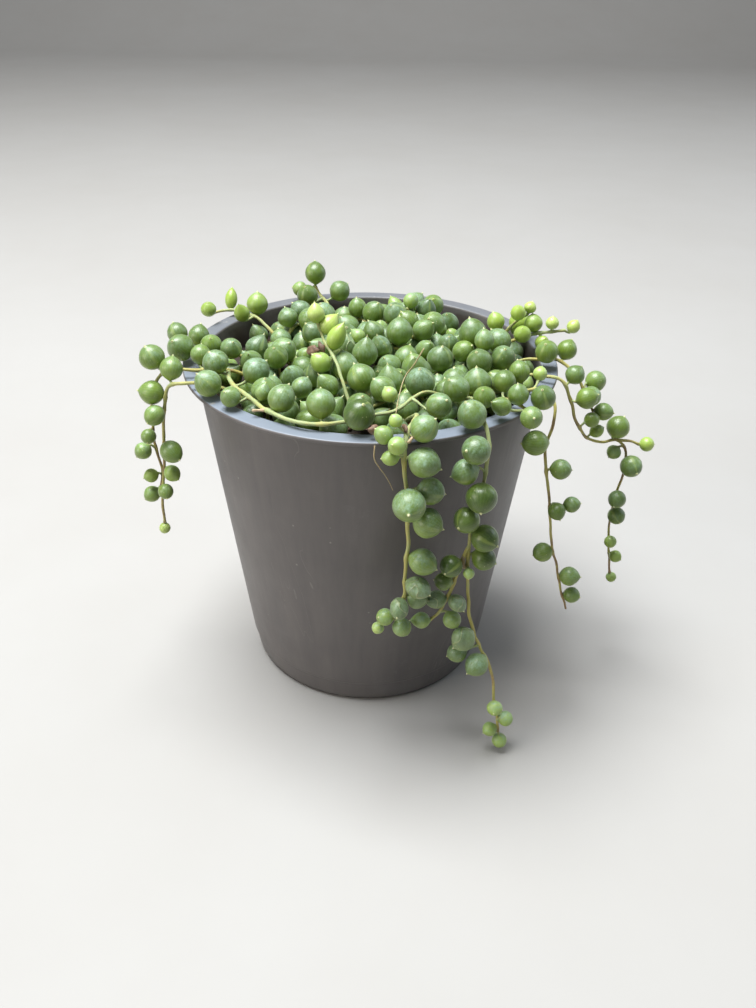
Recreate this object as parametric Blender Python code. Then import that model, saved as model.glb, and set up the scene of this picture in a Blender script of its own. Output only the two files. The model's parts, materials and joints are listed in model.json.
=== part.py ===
"""Potted string of pearls (Curio rowleyanus): pot, potting mix, and every strand of the plant.

Frame: +Z is up, the pot's axis is Z, and z = 0 is the plane that the pot stands on.
The front, where two long strands hang, faces -Y. Lengths named in millimetres end in _MM.
Each strand is one closed body, because a stem and its leaves grow as one piece.
"""

import math

import bmesh
import bpy
import numpy as np
from mathutils import Vector

MM = 0.001

# Pot, millimetres.
POT_HEIGHT_MM = 103.0
RIM_RADIUS_MM = 55.0
RIM_THICKNESS_MM = 1.2
RIM_ROUND_MM = 0.4
WALL_TOP_RADIUS_MM = 51.2
FOOT_RADIUS_MM = 38.7
FOOT_STEP_HEIGHT_MM = 8.0
FOOT_STEP_MM = 0.5
FOOT_CHAMFER_MM = 1.4
WALL_MM = 1.2
BASE_MM = 1.8
POT_SEGMENTS = 36
DRAIN_HOLES = 4
DRAIN_RADIUS_MM = 4.0
DRAIN_CIRCLE_MM = 24.0
DRAIN_SEGMENTS = 12

# Potting mix, millimetres.
MIX_EDGE_Z_MM = 94.5
MIX_CROWN_MM = 2.5
CLEARANCE_MM = 0.3

# Strands, millimetres.
STEM_RADIUS_MM = 0.55
STEM_SIDES = 3
STEM_STEP_MM = 5.5
STALK_SINK_MM = 0.25
ROOT_REACH_MM = 1.0
PEARL_SEGMENTS = 5
PEARL_RINGS = 3
MAT_PEARL_RINGS = 2
MAT_STRANDS = 30
MAT_PEARLS_EACH = (5, 7)
MAT_PEARL_MM = (5.7, 8.0)
MAT_TIP_PEARL_MM = (4.2, 5.4)
PEARL_GAP_MM = 0.45
LINK_SLACK_MM = 0.9
OWN_STEM_ROOM_MM = 0.4
STEM_ROOM_MM = 1.3
SETTLE_STEPS = 420
SEED = 9

# Named strands. Each has its stems' routes, as x, y, z points in millimetres from the root to
# the tip, with side branches after the main stem, and its pearls, as x, y, z and diameter.
NAMED_STRANDS = {
    "trailing_strand_left_outer": {
        "stems": [[(-34, -10, 99), (-41, -14, 103.8), (-48, -17.5, 105), (-55.4, -18.5, 105.4),
                   (-59.5, -18.5, 102.5), (-61.8, -18.5, 95.5), (-62.6, -18.5, 87),
                   (-62.4, -18.5, 80.5), (-61.4, -18.5, 74.5), (-62, -18.5, 68)]],
        "pearls": [(-48, -12.5, 107.6, 5.6), (-60, -19, 109.3, 6.9), (-65.8, -20, 80.5, 4.9),
                   (-63, -22.5, 86.6, 4.3), (-64.4, -20, 72.2, 4.1), (-65, -19.5, 65.5, 4.8)],
    },
    "trailing_strand_left_inner": {
        "stems": [[(-36, -22, 99), (-43, -24.5, 103.9), (-50, -26, 105), (-55, -25, 103.6),
                   (-57, -24, 97.5), (-58, -23.5, 92), (-58.6, -23.5, 86), (-59, -23.5, 80),
                   (-59.8, -23.5, 74), (-61, -23.5, 67), (-61.2, -23.5, 58)]],
        "pearls": [(-54.6, -22, 107.6, 6.2), (-60.4, -22.5, 100.6, 6.6), (-59.4, -27, 95.6, 5.6),
                   (-56, -26.6, 84, 6.3), (-56.9, -25, 76, 4.7), (-59, -26.6, 70.8, 4.4),
                   (-61.4, -23.5, 56.2, 3.3)],
    },
    "rim_strand_left": {
        "stems": [[(-33, -1, 99), (-40, -2, 103.7), (-46, -2.5, 104.6), (-52, -3, 104.8),
                   (-55.5, 0, 104.7)]],
        "pearls": [(-45.6, -5.5, 107.6, 6.0), (-40.6, -7, 107.4, 6.0), (-50.6, 1, 107.8, 6.1),
                   (-57.6, 4.2, 107.2, 6.0), (-54.4, -8.2, 107.8, 7.6)],
    },
    "rim_strand_back_left": {
        "stems": [[(-29, 19, 99), (-35, 24, 103.8), (-42, 29, 104.8), (-47, 29.5, 105),
                   (-51, 26, 105)]],
        "pearls": [(-36.6, 29.5, 107.4, 6.7), (-45.4, 33, 107.6, 4.6), (-51.4, 24, 107.4, 4.7),
                   (-40.6, 21.5, 107.2, 5.2)],
    },
    "rim_strand_back": {
        "stems": [[(-12, 33, 99), (-14, 38.5, 103.8), (-17, 43, 105.6), (-18.8, 45, 108.4)]],
        "pearls": [(-18.8, 46, 112.4, 6.8), (-21, 37.6, 107.6, 6.8), (-10.6, 42.4, 107.6, 6.6),
                   (-24, 44.4, 107.4, 4.8)],
    },
    "right_shoot": {
        "stems": [[(31, 2, 99), (36, 4, 103), (40, 5, 105), (44.3, 5, 106.8), (50.7, 5, 108.7),
                   (57.5, 5, 109.7)]],
        "pearls": [(60.2, 5, 110.8, 3.9), (53.8, 5, 111.8, 3.8), (48.4, 6.8, 111.4, 5.3),
                   (51.2, 4, 106, 4.2), (44.6, 1.4, 109.6, 5.0)],
    },
    "upright_shoot_right": {
        "stems": [[(38, 14, 99), (40.5, 12, 104.5), (42.6, 10, 109), (44.4, 8, 112)]],
        "pearls": [(43.4, 5.6, 114.6, 4.4), (47.4, 8, 115, 3.6), (38.4, 15, 108.2, 5.4),
                   (45.6, 14, 108.4, 6.4)],
    },
    "trailing_strand_right": {
        "stems": [[(38, -12, 99), (44, -15, 103.8), (49, -18, 104.9), (53.6, -19.5, 104.2),
                   (56.4, -20, 99), (58.6, -18.6, 93), (61.6, -16, 87), (66, -12, 82),
                   (70.6, -9, 79.4), (75, -8, 79.6), (78.4, -8, 76), (78.8, -8, 68),
                   (77.8, -8, 60), (77.4, -8, 50), (78.6, -8, 40), (80.4, -8, 30)],
                  [(75, -8, 79.6), (79.6, -7, 79), (82.6, -6, 77.4)]],
        "pearls": [(57.8, -15.4, 104.4, 5.4), (60.6, -21.4, 100, 5.9), (64.4, -16, 90.6, 4.4),
                   (67, -13.4, 85.6, 3.9), (74.8, -8, 84.2, 6.8), (74.8, -8, 75.6, 4.3),
                   (79.6, -10.6, 72.6, 6.6), (83.8, -6, 77.4, 4.4), (77.4, -11.2, 60.6, 5.5),
                   (78.2, -11, 54.4, 5.4), (78, -10.4, 44, 3.9), (80.6, -10, 38, 3.9),
                   (80.8, -8, 29, 3.4)],
    },
    "trailing_strand_right_upper": {
        "stems": [[(38, -3, 99), (44, -4.5, 103.8), (49.5, -6, 104.9), (54.6, -8, 105.2),
                   (59, -10, 102.6), (61.8, -11.4, 98), (64.4, -11.6, 93), (66.6, -11.4, 89.6)]],
        "pearls": [(50.4, -8.6, 108.4, 6.5), (56.8, -5.6, 107.8, 5.7), (63.6, -14.4, 97.6, 5.7),
                   (65.4, -9.6, 99.6, 6.0), (67.6, -12.4, 91.2, 5.2)],
    },
    "trailing_strand_right_front": {
        "stems": [[(38, -22, 99), (42.6, -25, 103.8), (46.6, -28, 105.2), (49.4, -31.6, 103),
                   (49.2, -34, 98), (47.8, -35, 91), (48.8, -35, 84.3), (50, -35, 79.6),
                   (50.8, -35, 74), (52.4, -34.4, 65), (54, -34, 57), (55.6, -33.6, 51.7),
                   (57.4, -33.4, 45.4), (59, -33, 39.8), (61, -33, 34.4)]],
        "pearls": [(45.4, -35.6, 106.8, 6.5), (44.6, -36.6, 93.8, 6.8), (52.8, -35, 84.8, 5.6),
                   (52.9, -36.4, 72.4, 4.9), (57, -35, 73.2, 4.6), (52.4, -33.6, 56, 5.6),
                   (60, -33.4, 47, 5.7), (61.8, -33.6, 40.2, 4.8), (41, -21, 107.6, 5.7),
                   (46.6, -21.8, 107.4, 3.9)],
    },
    "rim_strand_right": {
        "stems": [[(21, -24, 99), (26, -30, 103.6), (31, -33.4, 104.7), (36.4, -33.6, 104.8),
                   (39.6, -36, 104.8), (41.4, -40, 104.6)]],
        "pearls": [(29.6, -37.4, 107.4, 5.8), (33.6, -42, 107.2, 5.1), (38.6, -36.6, 108, 5.5),
                   (36, -28, 107.8, 6.0), (41.4, -43.4, 104.8, 5.6), (22.6, -33.4, 107.8, 7.0)],
    },
    "trailing_strand_front": {
        "stems": [[(10, -35, 99), (12, -41, 103.8), (11, -47, 105), (9.3, -53, 105.4),
                   (8.7, -56.3, 103.6), (8.6, -57, 98), (9.2, -57, 92.8), (9.8, -57, 87),
                   (9.9, -57, 81), (10.5, -57, 75), (10, -57, 69), (9.9, -57, 64.8),
                   (10, -57, 58.5), (9, -57, 54), (7, -57, 50), (4.5, -57, 47.4)]],
        "pearls": [(3.8, -56.6, 106, 4.7), (6.2, -59.4, 105, 4.4), (5.2, -58.4, 101, 4.0),
                   (6.2, -54.6, 109, 3.4), (13.3, -55.2, 107.4, 6.8), (13.6, -57.6, 99.2, 7.6),
                   (15.6, -56, 90, 6.9), (10, -62, 89.4, 8.4), (15.2, -57.6, 81.4, 7.7),
                   (14.4, -58, 69.4, 7.1), (13.4, -59.4, 61.9, 6.7), (13.8, -56.4, 56, 5.9),
                   (8.6, -60.4, 55.6, 6.0), (4.8, -58.4, 51, 4.7), (3.2, -57, 46.2, 3.4),
                   (9.6, -57.6, 46.8, 5.2)],
    },
    "trailing_strand_front_right": {
        "stems": [[(25, -28, 99), (26.4, -36, 103.8), (28, -43, 105), (29.4, -48.4, 104.6),
                   (30, -51.6, 100), (29.6, -52, 94), (29.2, -52, 88), (28, -52, 80),
                   (27, -52.5, 74), (27, -53, 67), (27.2, -53.5, 61), (27.8, -54, 54.5),
                   (28.6, -54.5, 48.2), (31.5, -55, 39), (35, -55.5, 32), (36.6, -56, 26),
                   (37.6, -57, 19), (38.8, -57.5, 13), (39.4, -58, 7.5)],
                  [(27, -52.8, 71), (24.6, -53.4, 64), (22.8, -54, 57.6), (20.6, -54, 50.6),
                   (17.6, -54, 46.6)]],
        "pearls": [(25.6, -47.6, 107.6, 7.3), (26.4, -55, 101.4, 7.2), (24.4, -53, 94, 6.6),
                   (28.6, -56.4, 88.4, 7.9), (25.4, -55.4, 81, 6.8), (30.6, -55, 75, 7.2),
                   (31, -54, 68, 6.4), (22.2, -55.6, 66.4, 6.0), (27, -56.4, 64.6, 3.0),
                   (20.6, -54.4, 60.4, 4.9), (19.4, -54.6, 54.2, 5.5), (24.6, -56, 54.2, 5.2),
                   (15.8, -54.4, 46.8, 4.7), (23.6, -55, 47.6, 5.0), (27.4, -56.4, 42, 7.2),
                   (25.8, -55.4, 36.2, 5.6), (31.4, -57.6, 33.6, 6.5), (37.4, -60, 18.8, 4.4),
                   (41.2, -57.4, 12, 4.4), (37.4, -58.2, 8.6, 4.2), (40.2, -58.4, 4, 4.4)],
    },
    "rim_strand_front": {
        "stems": [[(-40, -15, 103.6), (-39.4, -20, 104.6), (-37, -26.6, 104.7),
                   (-31.2, -34.8, 104.8), (-26.8, -41, 104.8), (-20.2, -46.8, 104.9),
                   (-13.8, -49, 104.9), (-6.8, -47.5, 104.8), (-2.6, -44, 104.6),
                   (2, -42.4, 104.6), (6, -40.4, 104.6), (9, -38.2, 105.6), (14, -33, 106.6),
                   (18.4, -30.4, 105)]],
        "pearls": [(-43, -18.6, 107.8, 7.0), (-43.2, -30.6, 107.2, 7.1), (-36.4, -37, 106.4, 5.3),
                   (-22.8, -40, 107.6, 7.0), (-12.5, -43.6, 108, 7.4), (-2.7, -49, 107.8, 7.8),
                   (-28, -36, 107.4, 4.2), (5, -36.6, 107.6, 4.2), (-31, -24, 107.8, 7.4),
                   (17.6, -42.4, 107.4, 6.6), (-18, -33.6, 107.8, 5.4)],
    },
    "young_shoot": {
        "stems": [[(-5, -33, 99), (-6.5, -30, 105), (-8.3, -26, 109), (-10.8, -21, 112.3),
                   (-13.4, -17, 115.3), (-14.6, -15.5, 118.6)]],
        "pearls": [(-15.1, -15, 121.2, 3.8), (-11.6, -14.4, 117.8, 4.4), (-9.4, -18.6, 115.8, 4.4),
                   (-13.6, -22.4, 110, 4.5)],
    },
}


def inner_wall_radius(z):
    """Radius of the pot's inner wall at a height: a cone, one wall thickness in (mm)."""
    slope = (WALL_TOP_RADIUS_MM - FOOT_RADIUS_MM) / POT_HEIGHT_MM
    return FOOT_RADIUS_MM - WALL_MM + slope * z


def mix_height(radius):
    """Height of the mix: a shallow crown that falls with the square of the radius (mm)."""
    edge = inner_wall_radius(MIX_EDGE_Z_MM)
    return MIX_EDGE_Z_MM + MIX_CROWN_MM * (1.0 - np.clip(radius / edge, 0.0, 1.0) ** 2)


def smooth_path(points, step):
    """Catmull-Rom curve through the points, read every step along it (mm)."""
    knots = np.asarray(points, dtype=float)
    ends = np.vstack([2 * knots[0] - knots[1], knots, 2 * knots[-1] - knots[-2]])
    dense = []
    for i in range(len(knots) - 1):
        p0, p1, p2, p3 = ends[i:i + 4]
        t = np.linspace(0.0, 1.0, 16, endpoint=False)[:, None]
        dense.append(0.5 * (2 * p1 + (p2 - p0) * t + (2 * p0 - 5 * p1 + 4 * p2 - p3) * t ** 2
                            + (3 * p1 - p0 - 3 * p2 + p3) * t ** 3))
    dense = np.vstack(dense + [knots[-1:]])
    along = np.concatenate([[0.0], np.cumsum(np.linalg.norm(np.diff(dense, axis=0), axis=1))])
    count = max(3, int(round(along[-1] / step)) + 1)
    stations = np.linspace(0.0, along[-1], count)
    return np.stack([np.interp(stations, along, dense[:, k]) for k in range(3)], axis=1)


def start_mat(rng):
    """First guess of the mat: each strand a random walk over the mix (strand, x, y, z, radius)."""
    reach = inner_wall_radius(POT_HEIGHT_MM)
    golden = math.pi * (3.0 - math.sqrt(5.0))
    centres, radii, strand = [], [], []
    for k in range(MAT_STRANDS):
        root = 0.92 * reach * math.sqrt((k + 0.5) / MAT_STRANDS)
        place = np.array([root * math.cos(k * golden), root * math.sin(k * golden)])
        heading = rng.uniform(0.0, 2.0 * math.pi)
        count = int(rng.integers(MAT_PEARLS_EACH[0], MAT_PEARLS_EACH[1] + 1))
        for i in range(count):
            span = MAT_TIP_PEARL_MM if i == count - 1 else MAT_PEARL_MM
            radius = 0.5 * rng.uniform(*span)
            height = POT_HEIGHT_MM - 4.0 + 7.0 * rng.random()
            centres.append([place[0], place[1], height])
            radii.append(radius)
            strand.append(k)
            heading += rng.normal(0.0, 0.6)
            ahead = place + 2.1 * radius * np.array([math.cos(heading), math.sin(heading)])
            if np.hypot(*ahead) > reach - 5.0:
                heading = math.atan2(-place[1], -place[0]) + rng.normal(0.0, 0.5)
                ahead = place + 2.1 * radius * np.array([math.cos(heading), math.sin(heading)])
            place = ahead
    return np.array(centres), np.array(radii), np.array(strand)


def close_pairs(places, others, reach):
    """Index pairs that are nearer than their reach, with the gap missing and its direction."""
    square = (places ** 2).sum(1)[:, None] + (others ** 2).sum(1)[None] - 2.0 * places @ others.T
    first, second = np.nonzero(square < reach ** 2)
    offset = places[first] - others[second]
    distance = np.linalg.norm(offset, axis=1) + 1e-9
    short = np.maximum(0.0, reach[first, second] - distance)
    return first, second, offset * (short / distance)[:, None]


def push_apart(centres, radii, weight):
    """Move every pair of pearls that is closer than the gap apart, the heavier one less."""
    reach = radii[:, None] + radii[None] + PEARL_GAP_MM
    np.fill_diagonal(reach, 0.0)
    first, second, push = close_pairs(centres, centres, reach)
    move = np.zeros_like(centres)
    share = weight[first] / (weight[first] + weight[second])
    np.add.at(move, first, push * share[:, None])
    return move


def push_off_stems(centres, points, reach):
    """Move pearls off stem points: each pearl by the mean of the pushes on it."""
    first, _, push = close_pairs(centres, points, reach)
    move = np.zeros_like(centres)
    np.add.at(move, first, push)
    hits = np.bincount(first, minlength=len(centres))
    return move / np.maximum(1, hits)[:, None]


def pull_links(centres, radii, links):
    """Keep neighbours on a mat strand within reach of each other."""
    a, b = links[:, 0], links[:, 1]
    offset = centres[b] - centres[a]
    distance = np.linalg.norm(offset, axis=1) + 1e-9
    limit = radii[a] + radii[b] + LINK_SLACK_MM
    pull = (0.5 * np.maximum(0.0, distance - limit) / distance)[:, None] * offset
    move = np.zeros_like(centres)
    np.add.at(move, a, pull)
    np.add.at(move, b, -pull)
    return move


def keep_in_pot(centres, radii, mat):
    """Hold mat pearls above the mix and inside the wall, and the rest above the rim."""
    radial = np.hypot(centres[:, 0], centres[:, 1]) + 1e-9
    wall = inner_wall_radius(np.minimum(centres[:, 2], POT_HEIGHT_MM)) - CLEARANCE_MM - 0.3
    limit = np.where(mat, wall - radii, 1e9)
    scale = np.minimum(1.0, limit / radial)
    centres[:, :2] *= scale[:, None]
    floor = mix_height(np.hypot(centres[:, 0], centres[:, 1])) + CLEARANCE_MM + 0.2 + radii
    centres[:, 2] = np.where(mat, np.maximum(centres[:, 2], floor), centres[:, 2])
    return centres


def named_pearls():
    """Pearls of the named strands: centres, radii and the strand each belongs to."""
    rows, owner = [], []
    for k, strand in enumerate(NAMED_STRANDS.values()):
        rows.extend(strand["pearls"])
        owner.extend([k] * len(strand["pearls"]))
    rows = np.array(rows, dtype=float)
    return rows[:, :3], 0.5 * rows[:, 3], np.array(owner)


def stem_points():
    """Points every 1 mm along the named strands' stems, with their owners."""
    points, owner = [], []
    for k, strand in enumerate(NAMED_STRANDS.values()):
        for route in strand["stems"]:
            path = smooth_path(route, 1.0)
            points.append(path)
            owner.extend([k] * len(path))
    return np.vstack(points), np.array(owner)


def settle():
    """Place every pearl: named ones near where they are drawn, the mat packed round them.

    Returns centres, radii and owners, where owners count the named strands first.
    """
    rng = np.random.default_rng(SEED)
    named_at, named_radius, named_owner = named_pearls()
    mat_at, mat_radius, mat_owner = start_mat(rng)
    centres = np.vstack([named_at, mat_at])
    radii = np.concatenate([named_radius, mat_radius])
    owner = np.concatenate([named_owner, mat_owner + len(NAMED_STRANDS)])
    mat = np.arange(len(centres)) >= len(named_at)
    weight = np.where(mat, 1.0, 0.25)
    index = np.where(mat)[0]
    same = owner[index[:-1]] == owner[index[1:]]
    links = np.stack([index[:-1][same], index[1:][same]], axis=1)
    points, point_owner = stem_points()
    own = owner[:, None] == point_owner[None]
    reach = np.where(own, radii[:, None] + OWN_STEM_ROOM_MM, radii[:, None] + STEM_ROOM_MM)
    for step in range(SETTLE_STEPS):
        calm = step / SETTLE_STEPS
        centres[mat, 2] -= 0.12 * (1.0 - calm)
        centres[~mat] += 0.12 * (named_at - centres[~mat])
        centres += 0.8 * pull_links(centres, radii, links)
        centres += 0.45 * push_apart(centres, radii, weight)
        centres += 0.6 * push_off_stems(centres, points, reach)
        centres = keep_in_pot(centres, radii, mat)
    radii = fit_radii(centres, radii, points, own, mat)
    return centres, radii, owner


def fit_radii(centres, radii, points, own, mat):
    """Shrink each pearl until it clears its neighbours, the stems, the wall and the mix."""
    offset = np.linalg.norm(centres[:, None] - centres[None], axis=2)
    np.fill_diagonal(offset, 1e9)
    share = radii[:, None] / (radii[:, None] + radii[None])
    limit = (offset * share).min(axis=1) - 0.5 * PEARL_GAP_MM + 0.05
    to_stem = np.where(own, 1e9, np.linalg.norm(centres[:, None] - points[None], axis=2))
    limit = np.minimum(limit, to_stem.min(axis=1) - STEM_RADIUS_MM - CLEARANCE_MM - 0.1)
    radial = np.hypot(centres[:, 0], centres[:, 1])
    wall = inner_wall_radius(np.minimum(centres[:, 2], POT_HEIGHT_MM)) - radial - CLEARANCE_MM
    above_mix = centres[:, 2] - mix_height(radial) - CLEARANCE_MM
    limit = np.where(mat, np.minimum(limit, np.minimum(wall, above_mix)), limit)
    return np.minimum(radii, limit)


def new_material(name, colour, roughness, metallic=0.0):
    """Principled material with a plain colour."""
    material = bpy.data.materials.new(name)
    material.use_nodes = True
    shader = material.node_tree.nodes["Principled BSDF"]
    shader.inputs["Base Color"].default_value = (*colour, 1.0)
    shader.inputs["Roughness"].default_value = roughness
    shader.inputs["Metallic"].default_value = metallic
    return material


def link_mesh(name, bm, material):
    """Put a bmesh into a new object in the scene."""
    bmesh.ops.recalc_face_normals(bm, faces=bm.faces)
    mesh = bpy.data.meshes.new(name)
    bm.to_mesh(mesh)
    bm.free()
    mesh.materials.append(material)
    obj = bpy.data.objects.new(name, mesh)
    bpy.context.scene.collection.objects.link(obj)
    return obj


def shade_smooth(obj, angle=math.radians(40.0)):
    """Smooth shading with sharp edges kept above an angle."""
    obj.data.shade_smooth()
    obj.data.set_sharp_from_angle(angle=angle)


def turned_solid(name, profile, material):
    """Solid of revolution about Z from a profile that starts and ends on the axis (mm)."""
    bm = bmesh.new()
    rings = []
    for radius, z in profile:
        if radius == 0.0:
            rings.append([bm.verts.new((0.0, 0.0, z * MM))])
            continue
        ring = []
        for k in range(POT_SEGMENTS):
            turn = 2.0 * math.pi * k / POT_SEGMENTS
            ring.append(bm.verts.new((radius * MM * math.cos(turn), radius * MM * math.sin(turn),
                                      z * MM)))
        rings.append(ring)
    for low, high in zip(rings[:-1], rings[1:]):
        for k in range(POT_SEGMENTS):
            j = (k + 1) % POT_SEGMENTS
            if len(low) == 1:
                bm.faces.new((low[0], high[j], high[k]))
            elif len(high) == 1:
                bm.faces.new((low[k], low[j], high[0]))
            else:
                bm.faces.new((low[k], low[j], high[j], high[k]))
    obj = link_mesh(name, bm, material)
    shade_smooth(obj)
    return obj


def pot_profile():
    """Radius and height round the pot's section, from the base's underside to its inside (mm)."""
    slope = (WALL_TOP_RADIUS_MM - FOOT_RADIUS_MM) / POT_HEIGHT_MM
    under_rim = POT_HEIGHT_MM - RIM_THICKNESS_MM
    step_radius = FOOT_RADIUS_MM + slope * FOOT_STEP_HEIGHT_MM
    return [
        (0.0, 0.0),
        (FOOT_RADIUS_MM - FOOT_STEP_MM - FOOT_CHAMFER_MM, 0.0),
        (FOOT_RADIUS_MM - FOOT_STEP_MM, FOOT_CHAMFER_MM),
        (step_radius - FOOT_STEP_MM, FOOT_STEP_HEIGHT_MM),
        (step_radius, FOOT_STEP_HEIGHT_MM + FOOT_STEP_MM),
        (WALL_TOP_RADIUS_MM, under_rim - 2.0 * RIM_ROUND_MM),
        (WALL_TOP_RADIUS_MM + 2.0 * RIM_ROUND_MM, under_rim),
        (RIM_RADIUS_MM - RIM_ROUND_MM, under_rim),
        (RIM_RADIUS_MM, under_rim + RIM_ROUND_MM),
        (RIM_RADIUS_MM, POT_HEIGHT_MM - RIM_ROUND_MM),
        (RIM_RADIUS_MM - RIM_ROUND_MM, POT_HEIGHT_MM),
        (WALL_TOP_RADIUS_MM - WALL_MM + RIM_ROUND_MM, POT_HEIGHT_MM),
        (inner_wall_radius(POT_HEIGHT_MM - RIM_ROUND_MM), POT_HEIGHT_MM - RIM_ROUND_MM),
        (inner_wall_radius(BASE_MM + 1.0), BASE_MM + 1.0),
        (inner_wall_radius(BASE_MM) - 1.2, BASE_MM),
        (0.0, BASE_MM),
    ]


def make_pot(material, cutter_material):
    """Flanged plastic pot with drainage holes through its base."""
    pot = turned_solid("pot", pot_profile(), material)
    bm = bmesh.new()
    for k in range(DRAIN_HOLES):
        turn = 2.0 * math.pi * (k + 0.5) / DRAIN_HOLES
        made = bmesh.ops.create_cone(bm, cap_ends=True, segments=DRAIN_SEGMENTS,
                                     radius1=DRAIN_RADIUS_MM * MM, radius2=DRAIN_RADIUS_MM * MM,
                                     depth=4.0 * BASE_MM * MM)
        bmesh.ops.translate(bm, verts=made["verts"],
                            vec=Vector((math.cos(turn), math.sin(turn), 0.0)) * DRAIN_CIRCLE_MM * MM)
    cutter = link_mesh("drain_cutter", bm, cutter_material)
    hide_helper(cutter)
    cut_away(pot, cutter)


def hide_helper(obj):
    """Mark an object as a guide that isn't part of the model."""
    obj.hide_render = True
    obj.display_type = "WIRE"


def cut_away(obj, cutter):
    """Take the cutter's shape out of an object."""
    cut = obj.modifiers.new("cut", "BOOLEAN")
    cut.operation = "DIFFERENCE"
    cut.solver = "EXACT"
    cut.object = cutter


def add_union(obj, other):
    """Join another object's shapes to an object, where either may overlap itself."""
    join = obj.modifiers.new("join", "BOOLEAN")
    join.operation = "UNION"
    join.solver = "EXACT"
    join.use_self = True
    join.object = other


def make_mix(material):
    """Crowned plug of potting mix that fills the pot, clear of its wall and base."""
    low = BASE_MM + CLEARANCE_MM
    profile = [(0.0, low), (inner_wall_radius(low + 1.5) - CLEARANCE_MM - 1.5, low),
               (inner_wall_radius(low + 1.5) - CLEARANCE_MM, low + 1.5)]
    edge = inner_wall_radius(MIX_EDGE_Z_MM) - CLEARANCE_MM
    for share in (1.0, 0.75, 0.5, 0.25):
        profile.append((share * edge, float(mix_height(share * edge))))
    profile.append((0.0, float(mix_height(0.0))))
    turned_solid("potting_mix", profile, material)


def frame_across(direction):
    """Two unit vectors across a direction."""
    side = Vector((0.0, 0.0, 1.0)) if abs(direction.z) < 0.9 else Vector((1.0, 0.0, 0.0))
    first = direction.cross(side).normalized()
    return first, direction.cross(first).normalized()


def add_tube(bm, path, radius, sides):
    """Closed tube along a path, its rings carried along without twisting (mm in, m out)."""
    points = [Vector(p) for p in path]
    count = len(points)
    tangents = []
    for i in range(count):
        ahead = points[min(i + 1, count - 1)] - points[max(i - 1, 0)]
        tangents.append(ahead.normalized())
    across, other = frame_across(tangents[0])
    rings = []
    for point, tangent in zip(points, tangents):
        across = (across - tangent * across.dot(tangent)).normalized()
        other = tangent.cross(across)
        ring = []
        for k in range(sides):
            turn = 2.0 * math.pi * k / sides
            spoke = across * math.cos(turn) + other * math.sin(turn)
            ring.append(bm.verts.new((point + spoke * radius) * MM))
        rings.append(ring)
    for low, high in zip(rings[:-1], rings[1:]):
        for k in range(sides):
            j = (k + 1) % sides
            bm.faces.new((low[k], low[j], high[j], high[k]))
    bm.faces.new(rings[0][::-1])
    bm.faces.new(rings[-1])


def add_pearl(bm, centre, radius, axis, ring_count, neck=None):
    """Faceted globe about its axis; with a neck, the pole on that side is drawn out to it."""
    centre = Vector(centre)
    axis = Vector(axis).normalized()
    across, other = frame_across(axis)
    tip = bm.verts.new((centre + axis * radius) * MM)
    root = bm.verts.new((Vector(neck) if neck is not None else centre - axis * radius) * MM)
    rings = []
    for i in range(ring_count):
        polar = math.pi * (i + 1) / (ring_count + 1)
        ring = []
        for k in range(PEARL_SEGMENTS):
            turn = 2.0 * math.pi * (k + 0.5 * (i % 2)) / PEARL_SEGMENTS
            spoke = across * math.cos(turn) + other * math.sin(turn)
            place = centre + (axis * math.cos(polar) + spoke * math.sin(polar)) * radius
            ring.append(bm.verts.new(place * MM))
        rings.append(ring)
    for k in range(PEARL_SEGMENTS):
        j = (k + 1) % PEARL_SEGMENTS
        bm.faces.new((tip, rings[0][k], rings[0][j]))
        bm.faces.new((root, rings[-1][j], rings[-1][k]))
        for i in range(ring_count - 1):
            first, second = (rings[i], rings[i + 1])
            if i % 2 == 0:
                bm.faces.new((first[k], second[k], first[j]))
                bm.faces.new((first[j], second[k], second[j]))
            else:
                bm.faces.new((first[k], second[k], second[j]))
                bm.faces.new((first[k], second[j], first[j]))


def nearest_point(path, place):
    """Point of a path, taken as straight runs, nearest to a place."""
    start, run = path[:-1], np.diff(path, axis=0)
    share = ((place - start) * run).sum(1) / (run ** 2).sum(1)
    feet = start + run * np.clip(share, 0.0, 1.0)[:, None]
    return feet[np.argmin(np.linalg.norm(feet - place, axis=1))]


def make_named_strand(name, strand, centres, radii, material):
    """Strand drawn by hand: its stems, joined with its pearls on their short stalks."""
    paths = [smooth_path(route, STEM_STEP_MM) for route in strand["stems"]]
    for branch in paths[1:]:
        branch[0] = nearest_point(paths[0], branch[0])
    bm = bmesh.new()
    for path in paths:
        add_tube(bm, path, STEM_RADIUS_MM, STEM_SIDES)
    stems = link_mesh(name, bm, material)
    bm = bmesh.new()
    for centre, radius in zip(centres, radii):
        feet = np.array([nearest_point(path, centre) for path in paths])
        foot = feet[np.argmin(np.linalg.norm(feet - centre, axis=1))]
        outward = (centre - foot) / np.linalg.norm(centre - foot)
        add_pearl(bm, centre, radius, outward, PEARL_RINGS, foot - STALK_SINK_MM * outward)
    pearls = link_mesh(name + "_pearls", bm, material)
    hide_helper(pearls)
    add_union(stems, pearls)


def make_mat_strand(name, centres, radii, material):
    """Strand of the mat: a stem threaded through its pearls, rooted if it starts at the mix."""
    root = centres[0].copy()
    root[2] = float(mix_height(np.hypot(root[0], root[1]))) + CLEARANCE_MM + 0.1
    starts_low = centres[0][2] - root[2] < radii[0] + ROOT_REACH_MM
    stations = np.vstack([root, centres]) if starts_low else centres
    bm = bmesh.new()
    for start, end in zip(stations[:-1], stations[1:]):
        add_tube(bm, np.stack([start, end]), STEM_RADIUS_MM, STEM_SIDES)
    stem = link_mesh(name, bm, material)
    bm = bmesh.new()
    for centre, radius in zip(centres, radii):
        add_pearl(bm, centre, radius, (0.2, 0.1, 1.0), MAT_PEARL_RINGS)
    pearls = link_mesh(name + "_pearls", bm, material)
    hide_helper(pearls)
    add_union(stem, pearls)


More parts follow.
